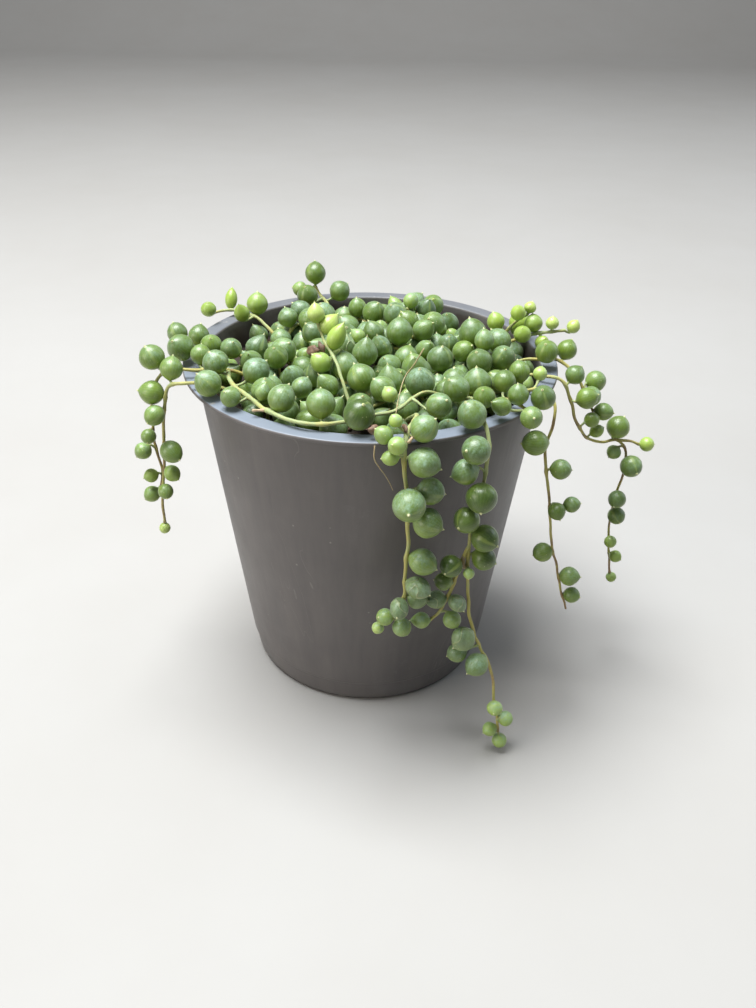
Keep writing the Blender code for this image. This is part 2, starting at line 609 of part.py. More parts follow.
def main():
    """Build the whole plant in its pot."""
    for obj in list(bpy.data.objects):
        bpy.data.objects.remove(obj)
    plastic = new_material("taupe_plastic", (0.12, 0.11, 0.11), 0.45)
    soil = new_material("dark_mix", (0.03, 0.02, 0.015), 0.95)
    leaf = new_material("pearl_green", (0.09, 0.2, 0.06), 0.35)
    make_pot(plastic, soil)
    make_mix(soil)
    centres, radii, owner = settle()
    for k, (name, strand) in enumerate(NAMED_STRANDS.items()):
        own = owner == k
        make_named_strand(name, strand, centres[own], radii[own], leaf)
    for k in range(MAT_STRANDS):
        own = owner == k + len(NAMED_STRANDS)
        make_mat_strand(f"mat_strand_{k + 1:02d}", centres[own], radii[own], leaf)


main()
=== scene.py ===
"""Looks of the potted string of pearls: pot, potting mix, stems and every pearl of the plant.

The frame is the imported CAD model's: metres, +Z up, the pot's axis is Z, its foot stands on z = 0
and the front, where two long strands hang, faces -Y. Fields and arguments ending in _mm, and all
strand routes and pearl places, are in millimetres.
"""

import json
import logging
import math
from dataclasses import dataclass, field
from enum import Enum

import bpy
import numpy as np
from mathutils import Matrix, Vector
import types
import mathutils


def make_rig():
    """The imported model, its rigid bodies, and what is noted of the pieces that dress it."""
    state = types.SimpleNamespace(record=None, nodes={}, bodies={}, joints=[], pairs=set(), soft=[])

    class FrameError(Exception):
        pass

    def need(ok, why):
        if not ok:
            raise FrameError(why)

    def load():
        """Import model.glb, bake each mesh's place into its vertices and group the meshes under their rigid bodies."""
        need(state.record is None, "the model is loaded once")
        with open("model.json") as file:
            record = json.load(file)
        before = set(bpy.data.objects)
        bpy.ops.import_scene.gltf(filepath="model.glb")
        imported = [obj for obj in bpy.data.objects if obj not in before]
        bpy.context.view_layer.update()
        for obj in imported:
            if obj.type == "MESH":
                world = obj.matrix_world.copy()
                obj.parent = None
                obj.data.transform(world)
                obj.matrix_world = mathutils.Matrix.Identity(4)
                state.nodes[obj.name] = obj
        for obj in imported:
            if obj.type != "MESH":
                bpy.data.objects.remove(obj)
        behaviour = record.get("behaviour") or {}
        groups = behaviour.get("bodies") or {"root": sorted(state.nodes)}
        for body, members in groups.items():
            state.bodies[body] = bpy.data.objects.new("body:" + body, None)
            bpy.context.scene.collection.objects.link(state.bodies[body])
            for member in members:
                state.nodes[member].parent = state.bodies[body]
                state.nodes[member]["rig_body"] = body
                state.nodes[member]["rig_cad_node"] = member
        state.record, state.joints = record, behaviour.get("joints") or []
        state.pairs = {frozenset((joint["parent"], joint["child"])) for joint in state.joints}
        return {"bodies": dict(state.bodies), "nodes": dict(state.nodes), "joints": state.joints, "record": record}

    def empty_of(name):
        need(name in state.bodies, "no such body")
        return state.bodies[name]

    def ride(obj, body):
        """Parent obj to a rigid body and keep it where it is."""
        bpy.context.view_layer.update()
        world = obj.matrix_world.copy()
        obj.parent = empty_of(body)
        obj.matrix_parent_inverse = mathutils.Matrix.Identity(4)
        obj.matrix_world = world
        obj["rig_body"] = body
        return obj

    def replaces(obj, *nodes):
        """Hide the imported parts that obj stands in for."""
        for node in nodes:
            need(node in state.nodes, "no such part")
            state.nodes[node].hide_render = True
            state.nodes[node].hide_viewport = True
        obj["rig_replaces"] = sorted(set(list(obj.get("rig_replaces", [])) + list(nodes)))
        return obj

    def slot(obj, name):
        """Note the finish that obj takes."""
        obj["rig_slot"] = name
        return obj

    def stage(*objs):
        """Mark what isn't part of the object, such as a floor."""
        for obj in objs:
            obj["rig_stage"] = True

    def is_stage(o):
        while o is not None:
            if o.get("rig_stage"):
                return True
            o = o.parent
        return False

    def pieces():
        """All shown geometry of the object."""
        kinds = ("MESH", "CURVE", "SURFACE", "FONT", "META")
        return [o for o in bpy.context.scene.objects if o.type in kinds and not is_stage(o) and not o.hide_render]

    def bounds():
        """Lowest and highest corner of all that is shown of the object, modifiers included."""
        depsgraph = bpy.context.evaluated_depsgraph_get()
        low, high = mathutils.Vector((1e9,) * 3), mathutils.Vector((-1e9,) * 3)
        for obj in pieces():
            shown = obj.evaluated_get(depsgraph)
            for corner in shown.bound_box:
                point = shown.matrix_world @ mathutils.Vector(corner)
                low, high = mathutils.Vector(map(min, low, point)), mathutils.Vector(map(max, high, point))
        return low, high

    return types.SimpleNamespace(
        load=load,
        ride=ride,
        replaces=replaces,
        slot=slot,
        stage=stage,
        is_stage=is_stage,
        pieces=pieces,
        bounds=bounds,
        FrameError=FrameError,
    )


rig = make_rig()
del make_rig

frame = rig.load()
CAD_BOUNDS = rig.bounds()

MM = 0.001
SIZE_FILE = "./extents.json"
LOG = logging.getLogger("string_of_pearls")
TUBE_DOME = 0.6  # how far a tube's end bulges, for its radius
RIM_TOP_MM = 104.0  # height from which a hanging stem's drop is counted
LONG_DROP_MM = 60.0  # drop over which a hanging stem's skin ages fully

Colour = tuple[float, float, float]
Point = tuple[float, float, float]
Mood = tuple[float, float, float, float]
Array = np.ndarray


class Growth(Enum):
    """How old a strand is, which decides the colour of its stem and pearls."""

    YOUNG = "young"
    GREEN = "green"
    WAXY = "waxy"


class Mark(Enum):
    """What sets one pearl apart from the rest of its strand."""

    YOUNG = "young"
    YELLOW = "yellow"
    POINTED = "pointed"
    LONG = "long"
    SHRIVELLED = "shrivelled"
    DARK = "dark"


STEM_AGE = {Growth.YOUNG: 0.3, Growth.GREEN: 0.5, Growth.WAXY: 0.2}
PEARL_YOUTH = {Growth.YOUNG: 0.5, Growth.GREEN: 0.12, Growth.WAXY: 0.1}
PEARL_WAX = {Growth.YOUNG: 0.15, Growth.GREEN: 0.3, Growth.WAXY: 0.62}


class Slot(Enum):
    """Material slots of the record."""

    POT = "pot_plastic"
    MIX = "potting_mix"
    TRAILING = "trailing_growth"
    MAT = "mat_growth"


@dataclass(frozen=True)
class Strand:
    """One drawn strand.

    stems holds each stem's route from root to tip, side branches last, and pearls holds x, y, z
    and diameter. fullness widens the pearls where they stand free. marks says which pearls differ,
    by their place in the list. threads are thin roots that leave the stem, stubs are dry or cut
    ends, and withered holds dead leaves, placed as the pearls are.
    """

    name: str
    stems: tuple[tuple[Point, ...], ...]
    pearls: tuple[tuple[float, float, float, float], ...]
    growth: Growth = Growth.GREEN
    girth_mm: float = 0.58
    fullness: float = 1.0
    marks: dict[Mark, tuple[int, ...]] = field(default_factory=dict)
    threads: tuple[tuple[Point, ...], ...] = ()
    stubs: tuple[tuple[Point, ...], ...] = ()
    withered: tuple[tuple[float, float, float, float], ...] = ()


STRANDS = (
    Strand(
        "trailing_strand_left_outer",
        stems=(
            ((-34, -10, 99), (-41, -14, 103.8), (-48, -17.5, 105), (-55.4, -18.5, 105.4),
             (-59.5, -18.5, 102.5), (-61.8, -18.5, 95.5), (-62.6, -18.5, 87), (-62.4, -18.5, 80.5),
             (-61.4, -18.5, 74.5), (-62, -18.5, 68)),
        ),
        pearls=(
            (-48, -12.5, 107.6, 5.6), (-60, -19, 109.3, 6.9), (-65.8, -20, 80.5, 4.9),
            (-63, -22.5, 86.6, 4.3), (-64.4, -20, 72.2, 4.1), (-65, -19.5, 65.5, 4.8),
        ),
        girth_mm=0.55,
    ),
    Strand(
        "trailing_strand_left_inner",
        stems=(
            ((-36, -22, 99), (-43, -24.5, 103.9), (-50, -26, 105), (-55, -25, 103.6),
             (-57, -24, 97.5), (-58, -23.5, 92), (-58.6, -23.5, 86), (-59, -23.5, 80),
             (-59.8, -23.5, 74), (-61, -23.5, 67), (-61.2, -23.5, 58)),
        ),
        pearls=(
            (-54.6, -22, 107.6, 6.2), (-60.4, -22.5, 100.6, 6.6), (-59.4, -27, 95.6, 5.6),
            (-56, -26.6, 84, 6.3), (-56.9, -25, 76, 4.7), (-59, -26.6, 70.8, 4.4),
            (-61.4, -23.5, 56.2, 3.3),
        ),
        girth_mm=0.55,
        marks={Mark.YELLOW: (6,), Mark.YOUNG: (4,)},
    ),
    Strand(
        "rim_strand_left",
        stems=(
            ((-33, -1, 99), (-40, -2, 103.7), (-46, -2.5, 104.6), (-52, -3, 104.8),
             (-55.5, 0, 104.7)),
        ),
        pearls=(
            (-45.6, -5.5, 107.6, 6), (-40.6, -7, 107.4, 6), (-50.6, 1, 107.8, 6.1),
            (-57.6, 4.2, 107.2, 6), (-54.4, -8.2, 107.8, 7.6),
        ),
        girth_mm=0.6,
    ),
    Strand(
        "rim_strand_back_left",
        stems=(
            ((-29, 19, 99), (-35, 24, 103.8), (-42, 29, 104.8), (-47, 29.5, 105), (-51, 26, 105)),
        ),
        pearls=(
            (-36.6, 29.5, 107.4, 6.7), (-45.4, 33, 107.6, 4.6), (-51.4, 24, 107.4, 4.7),
            (-40.6, 21.5, 107.2, 5.2),
        ),
        growth=Growth.YOUNG,
        girth_mm=0.6,
        marks={Mark.LONG: (1,), Mark.POINTED: (3,)},
    ),
    Strand(
        "rim_strand_back",
        stems=(
            ((-12, 33, 99), (-14, 38.5, 103.8), (-17, 43, 105.6), (-18.8, 45, 108.4)),
        ),
        pearls=(
            (-18.8, 46, 112.4, 6.8), (-21, 37.6, 107.6, 6.8), (-10.6, 42.4, 107.6, 6.6),
            (-24, 44.4, 107.4, 4.8),
        ),
        girth_mm=0.6,
        marks={Mark.YOUNG: (3,)},
    ),
    Strand(
        "right_shoot",
        stems=(
            ((31, 2, 99), (36, 4, 103), (40, 5, 105), (44.3, 5, 106.8), (50.7, 5, 108.7),
             (57.5, 5, 109.7)),
        ),
        pearls=(
            (60.2, 5, 110.8, 3.9), (53.8, 5, 111.8, 3.8), (48.4, 6.8, 111.4, 5.3),
            (51.2, 4, 106, 4.2), (44.6, 1.4, 109.6, 5),
        ),
        growth=Growth.YOUNG,
        girth_mm=0.6,
        marks={Mark.YELLOW: (0, 1)},
    ),
    Strand(
        "upright_shoot_right",
        stems=(
            ((38, 14, 99), (40.5, 12, 104.5), (42.6, 10, 109), (44.4, 8, 112)),
        ),
        pearls=(
            (43.4, 5.6, 114.6, 4.4), (47.4, 8, 115, 3.6), (38.4, 15, 108.2, 5.4),
            (45.6, 14, 108.4, 6.4),
        ),
        growth=Growth.YOUNG,
        girth_mm=0.6,
        marks={Mark.YELLOW: (1,)},
    ),
    Strand(
        "trailing_strand_right",
        stems=(
            ((38, -12, 99), (44, -15, 103.8), (49, -18, 104.9), (53.6, -19.5, 104.2),
             (56.4, -20, 99), (58.6, -18.6, 93), (61.6, -16, 87), (66, -12, 82), (70.6, -9, 79.4),
             (75, -8, 79.6), (78.4, -8, 76), (78.8, -8, 68), (77.8, -8, 60), (77.4, -8, 50),
             (78.6, -8, 40), (80.4, -8, 30)),
            ((75, -8, 79.6), (79.6, -7, 79), (82.6, -6, 77.4)),
        ),
        pearls=(
            (57.8, -15.4, 104.4, 5.4), (60.6, -21.4, 100, 5.9), (64.4, -16, 90.6, 4.4),
            (67, -13.4, 85.6, 3.9), (74.8, -8, 84.2, 6.8), (74.8, -8, 75.6, 4.3),
            (79.6, -10.6, 72.6, 6.6), (83.8, -6, 77.4, 4.4), (77.4, -11.2, 60.6, 5.5),
            (78.2, -11, 54.4, 5.4), (78, -10.4, 44, 3.9), (80.6, -10, 38, 3.9), (80.8, -8, 29, 3.4),
        ),
        girth_mm=0.5,
        marks={Mark.YELLOW: (7,)},
    ),
    Strand(
        "trailing_strand_right_upper",
        stems=(
            ((38, -3, 99), (44, -4.5, 103.8), (49.5, -6, 104.9), (54.6, -8, 105.2),
             (59, -10, 102.6), (61.8, -11.4, 98), (64.4, -11.6, 93), (66.6, -11.4, 89.6)),
        ),
        pearls=(
            (50.4, -8.6, 108.4, 6.5), (56.8, -5.6, 107.8, 5.7), (63.6, -14.4, 97.6, 5.7),
            (65.4, -9.6, 99.6, 6), (67.6, -12.4, 91.2, 5.2),
        ),
        girth_mm=0.55,
    ),
    Strand(
        "trailing_strand_right_front",
        stems=(
            ((38, -22, 99), (42.6, -25, 103.8), (46.6, -28, 105.2), (49.4, -31.6, 103),
             (49.2, -34, 98), (47.8, -35, 91), (48.8, -35, 84.3), (50, -35, 79.6), (50.8, -35, 74),
             (52.4, -34.4, 65), (54, -34, 57), (55.6, -33.6, 51.7), (57.4, -33.4, 45.4),
             (59, -33, 39.8), (61, -33, 34.4)),
        ),
        pearls=(
            (45.4, -35.6, 106.8, 6.5), (44.6, -36.6, 93.8, 6.8), (52.8, -35, 84.8, 5.6),
            (52.9, -36.4, 72.4, 4.9), (57, -35, 73.2, 4.6), (52.4, -33.6, 56, 5.6),
            (60, -33.4, 47, 5.7), (61.8, -33.6, 40.2, 4.8), (41, -21, 107.6, 5.7),
            (46.6, -21.8, 107.4, 3.9),
        ),
        girth_mm=0.5,
        marks={Mark.YELLOW: (9,)},
    ),
    Strand(
        "rim_strand_right",
        stems=(
            ((21, -24, 99), (26, -30, 103.6), (31, -33.4, 104.7), (36.4, -33.6, 104.8),
             (39.6, -36, 104.8), (41.4, -40, 104.6)),
        ),
        pearls=(
            (29.6, -37.4, 107.4, 5.8), (33.6, -42, 107.2, 5.1), (38.6, -36.6, 108, 5.5),
            (36, -28, 107.8, 6), (41.4, -43.4, 104.8, 5.6), (22.6, -33.4, 107.8, 7),
        ),
        girth_mm=0.6,
        marks={Mark.POINTED: (1,)},
    ),
    Strand(
        "trailing_strand_front",
        stems=(
            ((10, -35, 99), (12, -41, 103.8), (11, -47, 105), (9.3, -53, 105.4),
             (8.7, -56.3, 103.6), (8.6, -57, 98), (9.2, -57, 92.8), (9.8, -57, 87), (9.9, -57, 81),
             (10.5, -57, 75), (10, -57, 69), (9.9, -57, 64.8), (10, -57, 58.5), (9, -57, 54),
             (7, -57, 50), (4.5, -57, 47.4)),
        ),
        pearls=(
            (3.8, -56.6, 106, 4.7), (6.2, -59.4, 105, 4.4), (5.2, -58.4, 101, 4),
            (6.2, -54.6, 109, 3.4), (13.3, -55.2, 107.4, 6.8), (13.6, -57.6, 99.2, 7.6),
            (15.6, -56, 90, 6.9), (10, -62, 89.4, 8.4), (15.2, -57.6, 81.4, 7.7),
            (14.4, -58, 69.4, 7.1), (13.4, -59.4, 61.9, 6.7), (13.8, -56.4, 56, 5.9),
            (8.6, -60.4, 55.6, 6), (4.8, -58.4, 51, 4.7), (3.2, -57, 46.2, 3.4),
            (9.6, -57.6, 46.8, 5.2),
        ),
        growth=Growth.WAXY,
        girth_mm=0.66,
        marks={Mark.YOUNG: (0, 1, 2, 3, 13, 15), Mark.YELLOW: (14,), Mark.SHRIVELLED: (10, 11, 12)},
        threads=(
            ((1.3, -56, 102.8), (1.2, -56.4, 99.5), (2.6, -56, 96.6), (4, -55.6, 94.3),
             (5.2, -55.2, 91.8), (6.1, -54.6, 89.3)),
        ),
        stubs=(
            ((12.5, -53.5, 105.4), (11, -56, 105.8), (9.4, -57.4, 104.6)),
        ),
        withered=((11.6, -52.6, 105.8, 2.6), (8.6, -53.6, 106.6, 2.0), (1.2, -52.8, 105.6, 2.4)),
    ),
    Strand(
        "trailing_strand_front_right",
        stems=(
            ((25, -28, 99), (26.4, -36, 103.8), (28, -43, 105), (29.4, -48.4, 104.6),
             (30, -51.6, 100), (29.6, -52, 94), (29.2, -52, 88), (28, -52, 80), (27, -52.5, 74),
             (27, -53, 67), (27.2, -53.5, 61), (27.8, -54, 54.5), (28.6, -54.5, 48.2),
             (31.5, -55, 39), (35, -55.5, 32), (36.6, -56, 26), (37.6, -57, 19), (38.8, -57.5, 13),
             (39.4, -58, 7.5)),
            ((27, -52.8, 71), (24.6, -53.4, 64), (22.8, -54, 57.6), (20.6, -54, 50.6),
             (17.6, -54, 46.6)),
        ),
        pearls=(
            (25.6, -47.6, 107.6, 7.3), (26.4, -55, 101.4, 7.2), (24.4, -53, 94, 6.6),
            (28.6, -56.4, 88.4, 7.9), (25.4, -55.4, 81, 6.8), (30.6, -55, 75, 7.2),
            (31, -54, 68, 6.4), (22.2, -55.6, 66.4, 6), (27, -56.4, 64.6, 3),
            (20.6, -54.4, 60.4, 4.9), (19.4, -54.6, 54.2, 5.5), (24.6, -56, 54.2, 5.2),
            (15.8, -54.4, 46.8, 4.7), (23.6, -55, 47.6, 5), (27.4, -56.4, 42, 7.2),
            (25.8, -55.4, 36.2, 5.6), (31.4, -57.6, 33.6, 6.5), (37.4, -60, 18.8, 4.4),
            (41.2, -57.4, 12, 4.4), (37.4, -58.2, 8.6, 4.2), (40.2, -58.4, 4, 4.4),
        ),
        growth=Growth.WAXY,
        girth_mm=0.58,
        marks={Mark.DARK: (3, 4, 5, 6, 7, 9), Mark.YOUNG: (8, 12, 13, 17, 18, 19, 20),
               Mark.SHRIVELLED: (10, 11, 14), Mark.POINTED: (12,)},
        stubs=(
            ((25.5, -53.2, 68), (26, -54, 64.6)),
        ),
    ),
    Strand(
        "rim_strand_front",
        stems=(
            ((-40, -15, 103.6), (-39.4, -20, 104.6), (-37, -26.6, 104.7), (-31.2, -34.8, 104.8),
             (-26.8, -41, 104.8), (-20.2, -46.8, 104.9), (-13.8, -49, 104.9), (-6.8, -47.5, 104.8),
             (-2.6, -44, 104.6), (2, -42.4, 104.6), (6, -40.4, 104.6), (9, -38.2, 105.6),
             (14, -33, 106.6), (18.4, -30.4, 105)),
        ),
        pearls=(
            (-43, -18.6, 107.8, 7), (-43.2, -30.6, 107.2, 7.1), (-36.4, -37, 106.4, 5.3),
            (-22.8, -40, 107.6, 7), (-12.5, -43.6, 108, 7.4), (-2.7, -49, 107.8, 7.8),
            (-28, -36, 107.4, 4.2), (5, -36.6, 107.6, 4.2), (-31, -24, 107.8, 7.4),
            (17.6, -42.4, 107.4, 6.6), (-18, -33.6, 107.8, 5.4),
        ),
        growth=Growth.WAXY,
        girth_mm=0.64,
        marks={Mark.DARK: (5,), Mark.YELLOW: (7,), Mark.POINTED: (6,)},
        threads=(
            ((13.9, -30, 117.8), (11.6, -30.4, 113.6), (9.2, -30.4, 109.8), (7.6, -36, 107.2),
             (6.6, -45, 106), (6.4, -52, 105.6)),
        ),
        stubs=(
            ((-26.8, -41.2, 104.8), (-30.2, -41.6, 104.8)),
        ),
    ),
    Strand(
        "young_shoot",
        stems=(
            ((-5, -33, 99), (-6.5, -30, 105), (-8.3, -26, 109), (-10.8, -21, 112.3),
             (-13.4, -17, 115.3), (-14.6, -15.5, 118.6)),
        ),
        pearls=(
            (-15.1, -15, 121.2, 3.8), (-11.6, -14.4, 117.8, 4.4), (-9.4, -18.6, 115.8, 4.4),
            (-13.6, -22.4, 110, 4.5),
        ),
        growth=Growth.YOUNG,
        girth_mm=0.55,
        fullness=1.28,
        marks={Mark.YOUNG: (0, 1), Mark.POINTED: (0, 1), Mark.LONG: (2,)},
        withered=((-15.8, -20.8, 112.8, 3.2), (-13.4, -20.6, 113.6, 2.2)),
    ),
)


@dataclass
class PotForm:
    """Sizes of the flanged pot, and the heights and radii that other pieces take from them."""

    height_mm: float = 103.0
    rim_radius_mm: float = 55.0
    rim_thickness_mm: float = 1.2
    rim_round_mm: float = 0.4
    wall_top_radius_mm: float = 51.2
    foot_radius_mm: float = 38.7
    step_height_mm: float = 8.0
    step_mm: float = 0.5
    chamfer_mm: float = 1.4
    wall_mm: float = 1.2
    base_mm: float = 1.8
    mix_edge_z_mm: float = 94.5
    mix_crown_mm: float = 2.5
    clearance_mm: float = 0.3

    def inner_radius(self, z: Array | float) -> Array | float:
        """Radius of the inner wall at a height: a cone, one wall thickness in (mm)."""
        slope = (self.wall_top_radius_mm - self.foot_radius_mm) / self.height_mm
        return self.foot_radius_mm - self.wall_mm + slope * z

    def mix_height(self, radius: Array | float) -> Array | float:
        """Height of the mix: a shallow crown that falls with the square of the radius (mm)."""
        share = np.clip(radius / self.inner_radius(self.mix_edge_z_mm), 0.0, 1.0)
        return self.mix_edge_z_mm + self.mix_crown_mm * (1.0 - share**2)


def smooth_path(points: Array, step: float) -> Array:
    """Carry a Catmull-Rom curve through the points.

    Between two knots the curve is the usual cubic whose slope at a knot is half the step from
    the knot before to the knot after. It is then read at even distances along its length.

    Args:
        points: Knots, one per row.
        step: Distance between the stations that come back.

    Returns:
        Stations along the curve, one per row.
    """
    knots = np.asarray(points, dtype=float)
    ends = np.vstack([2 * knots[0] - knots[1], knots, 2 * knots[-1] - knots[-2]])
    t = np.linspace(0.0, 1.0, 16, endpoint=False)[None, :, None]
    p0, p1, p2, p3 = (ends[k : len(ends) - 3 + k][:, None] for k in range(4))
    cubic = (2 * p1 + (p2 - p0) * t + (2 * p0 - 5 * p1 + 4 * p2 - p3) * t**2
             + (3 * p1 - p0 - 3 * p2 + p3) * t**3)
    dense = np.vstack([(0.5 * cubic).reshape(-1, 3), knots[-1:]])
    along = distances(dense)
    count = max(3, int(round(along[-1] / step)) + 1)
    stations = np.linspace(0.0, along[-1], count)
    return np.stack([np.interp(stations, along, dense[:, k]) for k in range(3)], axis=1)


def distances(line: Array) -> Array:
    """How far along a line of points each point lies, from 0 at the first."""
    return np.concatenate([[0.0], np.cumsum(np.linalg.norm(np.diff(line, axis=0), axis=1))])


def even_turns(sides: int) -> Array:
    """Angles (radians) that divide a full turn evenly, from 0."""
    return 2.0 * math.pi * np.arange(sides) / sides


def unit(vectors: Array) -> Array:
    """Vectors along the last axis, each divided by its length."""
    return vectors / (np.linalg.norm(vectors, axis=-1, keepdims=True) + 1e-12)


def nearest_point(path: Array, place: Array) -> Array:
    """Find where a path of straight runs comes nearest to a place.

    Args:
        path: Stations, one per row.
        place: The place.

    Returns:
        The foot of the shortest line from the place to the path.
    """
    start, run = path[:-1], np.diff(path, axis=0)
    share = ((place - start) * run).sum(1) / (run**2).sum(1)
    feet = start + run * np.clip(share, 0.0, 1.0)[:, None]
    return feet[np.argmin(np.linalg.norm(feet - place, axis=1))]


@dataclass
class PearlPacking:
    """Finds where every pearl rests: drawn ones near their places, the mat packed round them.

    A first guess lets each mat strand wander over the mix. Then pearls that are too close push
    each other apart, neighbours on a strand pull together, and stems, wall and mix push back.
    """

    pot: PotForm
    strands: tuple[Strand, ...]
    mat_strands: int = 30
    mat_pearls_each: tuple[int, int] = (5, 7)
    mat_pearl_mm: tuple[float, float] = (5.7, 8.0)
    mat_tip_pearl_mm: tuple[float, float] = (4.2, 5.4)
    stem_radius_mm: float = 0.55
    pearl_gap_mm: float = 0.45
    link_slack_mm: float = 0.9
    own_stem_room_mm: float = 0.4
    stem_room_mm: float = 1.3
    mat_spread: float = 0.92
    start_below_rim_mm: float = 4.0
    start_range_mm: float = 7.0
    mat_edge_mm: float = 5.0
    stride: float = 2.1
    wander_rad: float = 0.6
    turn_back_rad: float = 0.5
    drawn_ease: float = 0.25
    sink_mm: float = 0.12
    homing: float = 0.12
    link_share: float = 0.8
    push_share: float = 0.45
    stem_share: float = 0.6
    steps: int = 420
    seed: int = 9

    def start_mat(self, rng: np.random.Generator) -> tuple[Array, Array, Array]:
        """Let each mat strand wander from its root, its roots spread in a sunflower spiral.

        Args:
            rng: Source of chance.

        Returns:
            Centres, radii and strand numbers of the mat's pearls.
        """
        reach = self.pot.inner_radius(self.pot.height_mm)
        golden = math.pi * (3.0 - math.sqrt(5.0))
        centres, radii, strand = [], [], []
        for k in range(self.mat_strands):
            root = self.mat_spread * reach * math.sqrt((k + 0.5) / self.mat_strands)
            place = np.array([root * math.cos(k * golden), root * math.sin(k * golden)])
            heading = rng.uniform(0.0, 2.0 * math.pi)
            count = int(rng.integers(self.mat_pearls_each[0], self.mat_pearls_each[1] + 1))
            for i in range(count):
                span = self.mat_tip_pearl_mm if i == count - 1 else self.mat_pearl_mm
                radius = 0.5 * rng.uniform(*span)
                height = self.pot.height_mm - self.start_below_rim_mm
                height += self.start_range_mm * rng.random()
                centres.append([place[0], place[1], height])
                radii.append(radius)
                strand.append(k)
                heading += rng.normal(0.0, self.wander_rad)
                length = self.stride * radius
                step = length * np.array([math.cos(heading), math.sin(heading)])
                if np.hypot(*(place + step)) > reach - self.mat_edge_mm:
                    heading = math.atan2(-place[1], -place[0])
                    heading += rng.normal(0.0, self.turn_back_rad)
                    step = length * np.array([math.cos(heading), math.sin(heading)])
                place = place + step
        return np.array(centres), np.array(radii), np.array(strand)

    @staticmethod
    def close_pairs(places: Array, others: Array, reach: Array) -> tuple[Array, Array, Array]:
        """Pick out the pairs that are nearer than their reach.

        Args:
            places: Points, one per row.
            others: Points to hold them against, one per row.
            reach: Least distance for every pair.

        Returns:
            Index of each pair's place and other, and the push that would part them.
        """
        square = ((places**2).sum(1)[:, None] + (others**2).sum(1)[None]
                  - 2.0 * places @ others.T)
        first, second = np.nonzero(square < reach**2)
        offset = places[first] - others[second]
        distance = np.linalg.norm(offset, axis=1) + 1e-9
        short = np.maximum(0.0, reach[first, second] - distance)
        return first, second, offset * (short / distance)[:, None]

    def push_apart(self, centres: Array, radii: Array, ease: Array) -> Array:
        """Move every pair of pearls closer than the gap apart, the readier one more (mm).

        Args:
            centres: Pearl centres (mm).
            radii: Pearl radii (mm).
            ease: How readily each pearl moves.

        Returns:
            Each pearl's move (mm).
        """
        reach = radii[:, None] + radii[None] + self.pearl_gap_mm
        np.fill_diagonal(reach, 0.0)
        first, second, push = self.close_pairs(centres, centres, reach)
        move = np.zeros_like(centres)
        share = ease[first] / (ease[first] + ease[second])
        np.add.at(move, first, push * share[:, None])
        return move

    def push_off_stems(self, centres: Array, points: Array, reach: Array) -> Array:
        """Move each pearl off the stems by the mean of the pushes on it (mm).

        Args:
            centres: Pearl centres (mm).
            points: Points along the drawn stems (mm).
            reach: Least distance of each pearl from each point (mm).

        Returns:
            Each pearl's move (mm).
        """
        first, _, push = self.close_pairs(centres, points, reach)
        move = np.zeros_like(centres)
        np.add.at(move, first, push)
        hits = np.bincount(first, minlength=len(centres))
        return move / np.maximum(1, hits)[:, None]

    def pull_links(self, centres: Array, radii: Array, links: Array) -> Array:
        """Draw neighbours on a mat strand together where they are out of reach (mm).

        Args:
            centres: Pearl centres (mm).
            radii: Pearl radii (mm).
            links: Numbers of the two pearls of each link.

        Returns:
            Each pearl's move (mm).
        """
        a, b = links[:, 0], links[:, 1]
        offset = centres[b] - centres[a]
        distance = np.linalg.norm(offset, axis=1) + 1e-9
        limit = radii[a] + radii[b] + self.link_slack_mm
        pull = (0.5 * np.maximum(0.0, distance - limit) / distance)[:, None] * offset
        move = np.zeros_like(centres)
        np.add.at(move, a, pull)
        np.add.at(move, b, -pull)
        return move

    def keep_in_pot(self, centres: Array, radii: Array, mat: Array) -> Array:
        """Hold the mat's pearls above the mix and inside the wall (mm).

        Args:
            centres: Pearl centres (mm).
            radii: Pearl radii (mm).
            mat: Whether each pearl is in the mat.

        Returns:
            The centres, moved where they have to be (mm).
        """
        radial = np.hypot(centres[:, 0], centres[:, 1]) + 1e-9
        low = np.minimum(centres[:, 2], self.pot.height_mm)
        wall = self.pot.inner_radius(low) - self.pot.clearance_mm - 0.3
        scale = np.minimum(1.0, np.where(mat, wall - radii, 1e9) / radial)
        centres[:, :2] *= scale[:, None]
        mix = self.pot.mix_height(np.hypot(centres[:, 0], centres[:, 1]))
        floor = mix + self.pot.clearance_mm + 0.2 + radii
        centres[:, 2] = np.where(mat, np.maximum(centres[:, 2], floor), centres[:, 2])
        return centres

    def stem_points(self) -> tuple[Array, Array]:
        """Points every 1 mm along the drawn stems, with the strand each belongs to.

        Returns:
            The points (mm), and the strand that each is on.
        """
        paths = [(k, smooth_path(route, 1.0))
                 for k, strand in enumerate(self.strands) for route in strand.stems]
        owner = np.concatenate([np.full(len(path), k) for k, path in paths])
        return np.vstack([path for _, path in paths]), owner

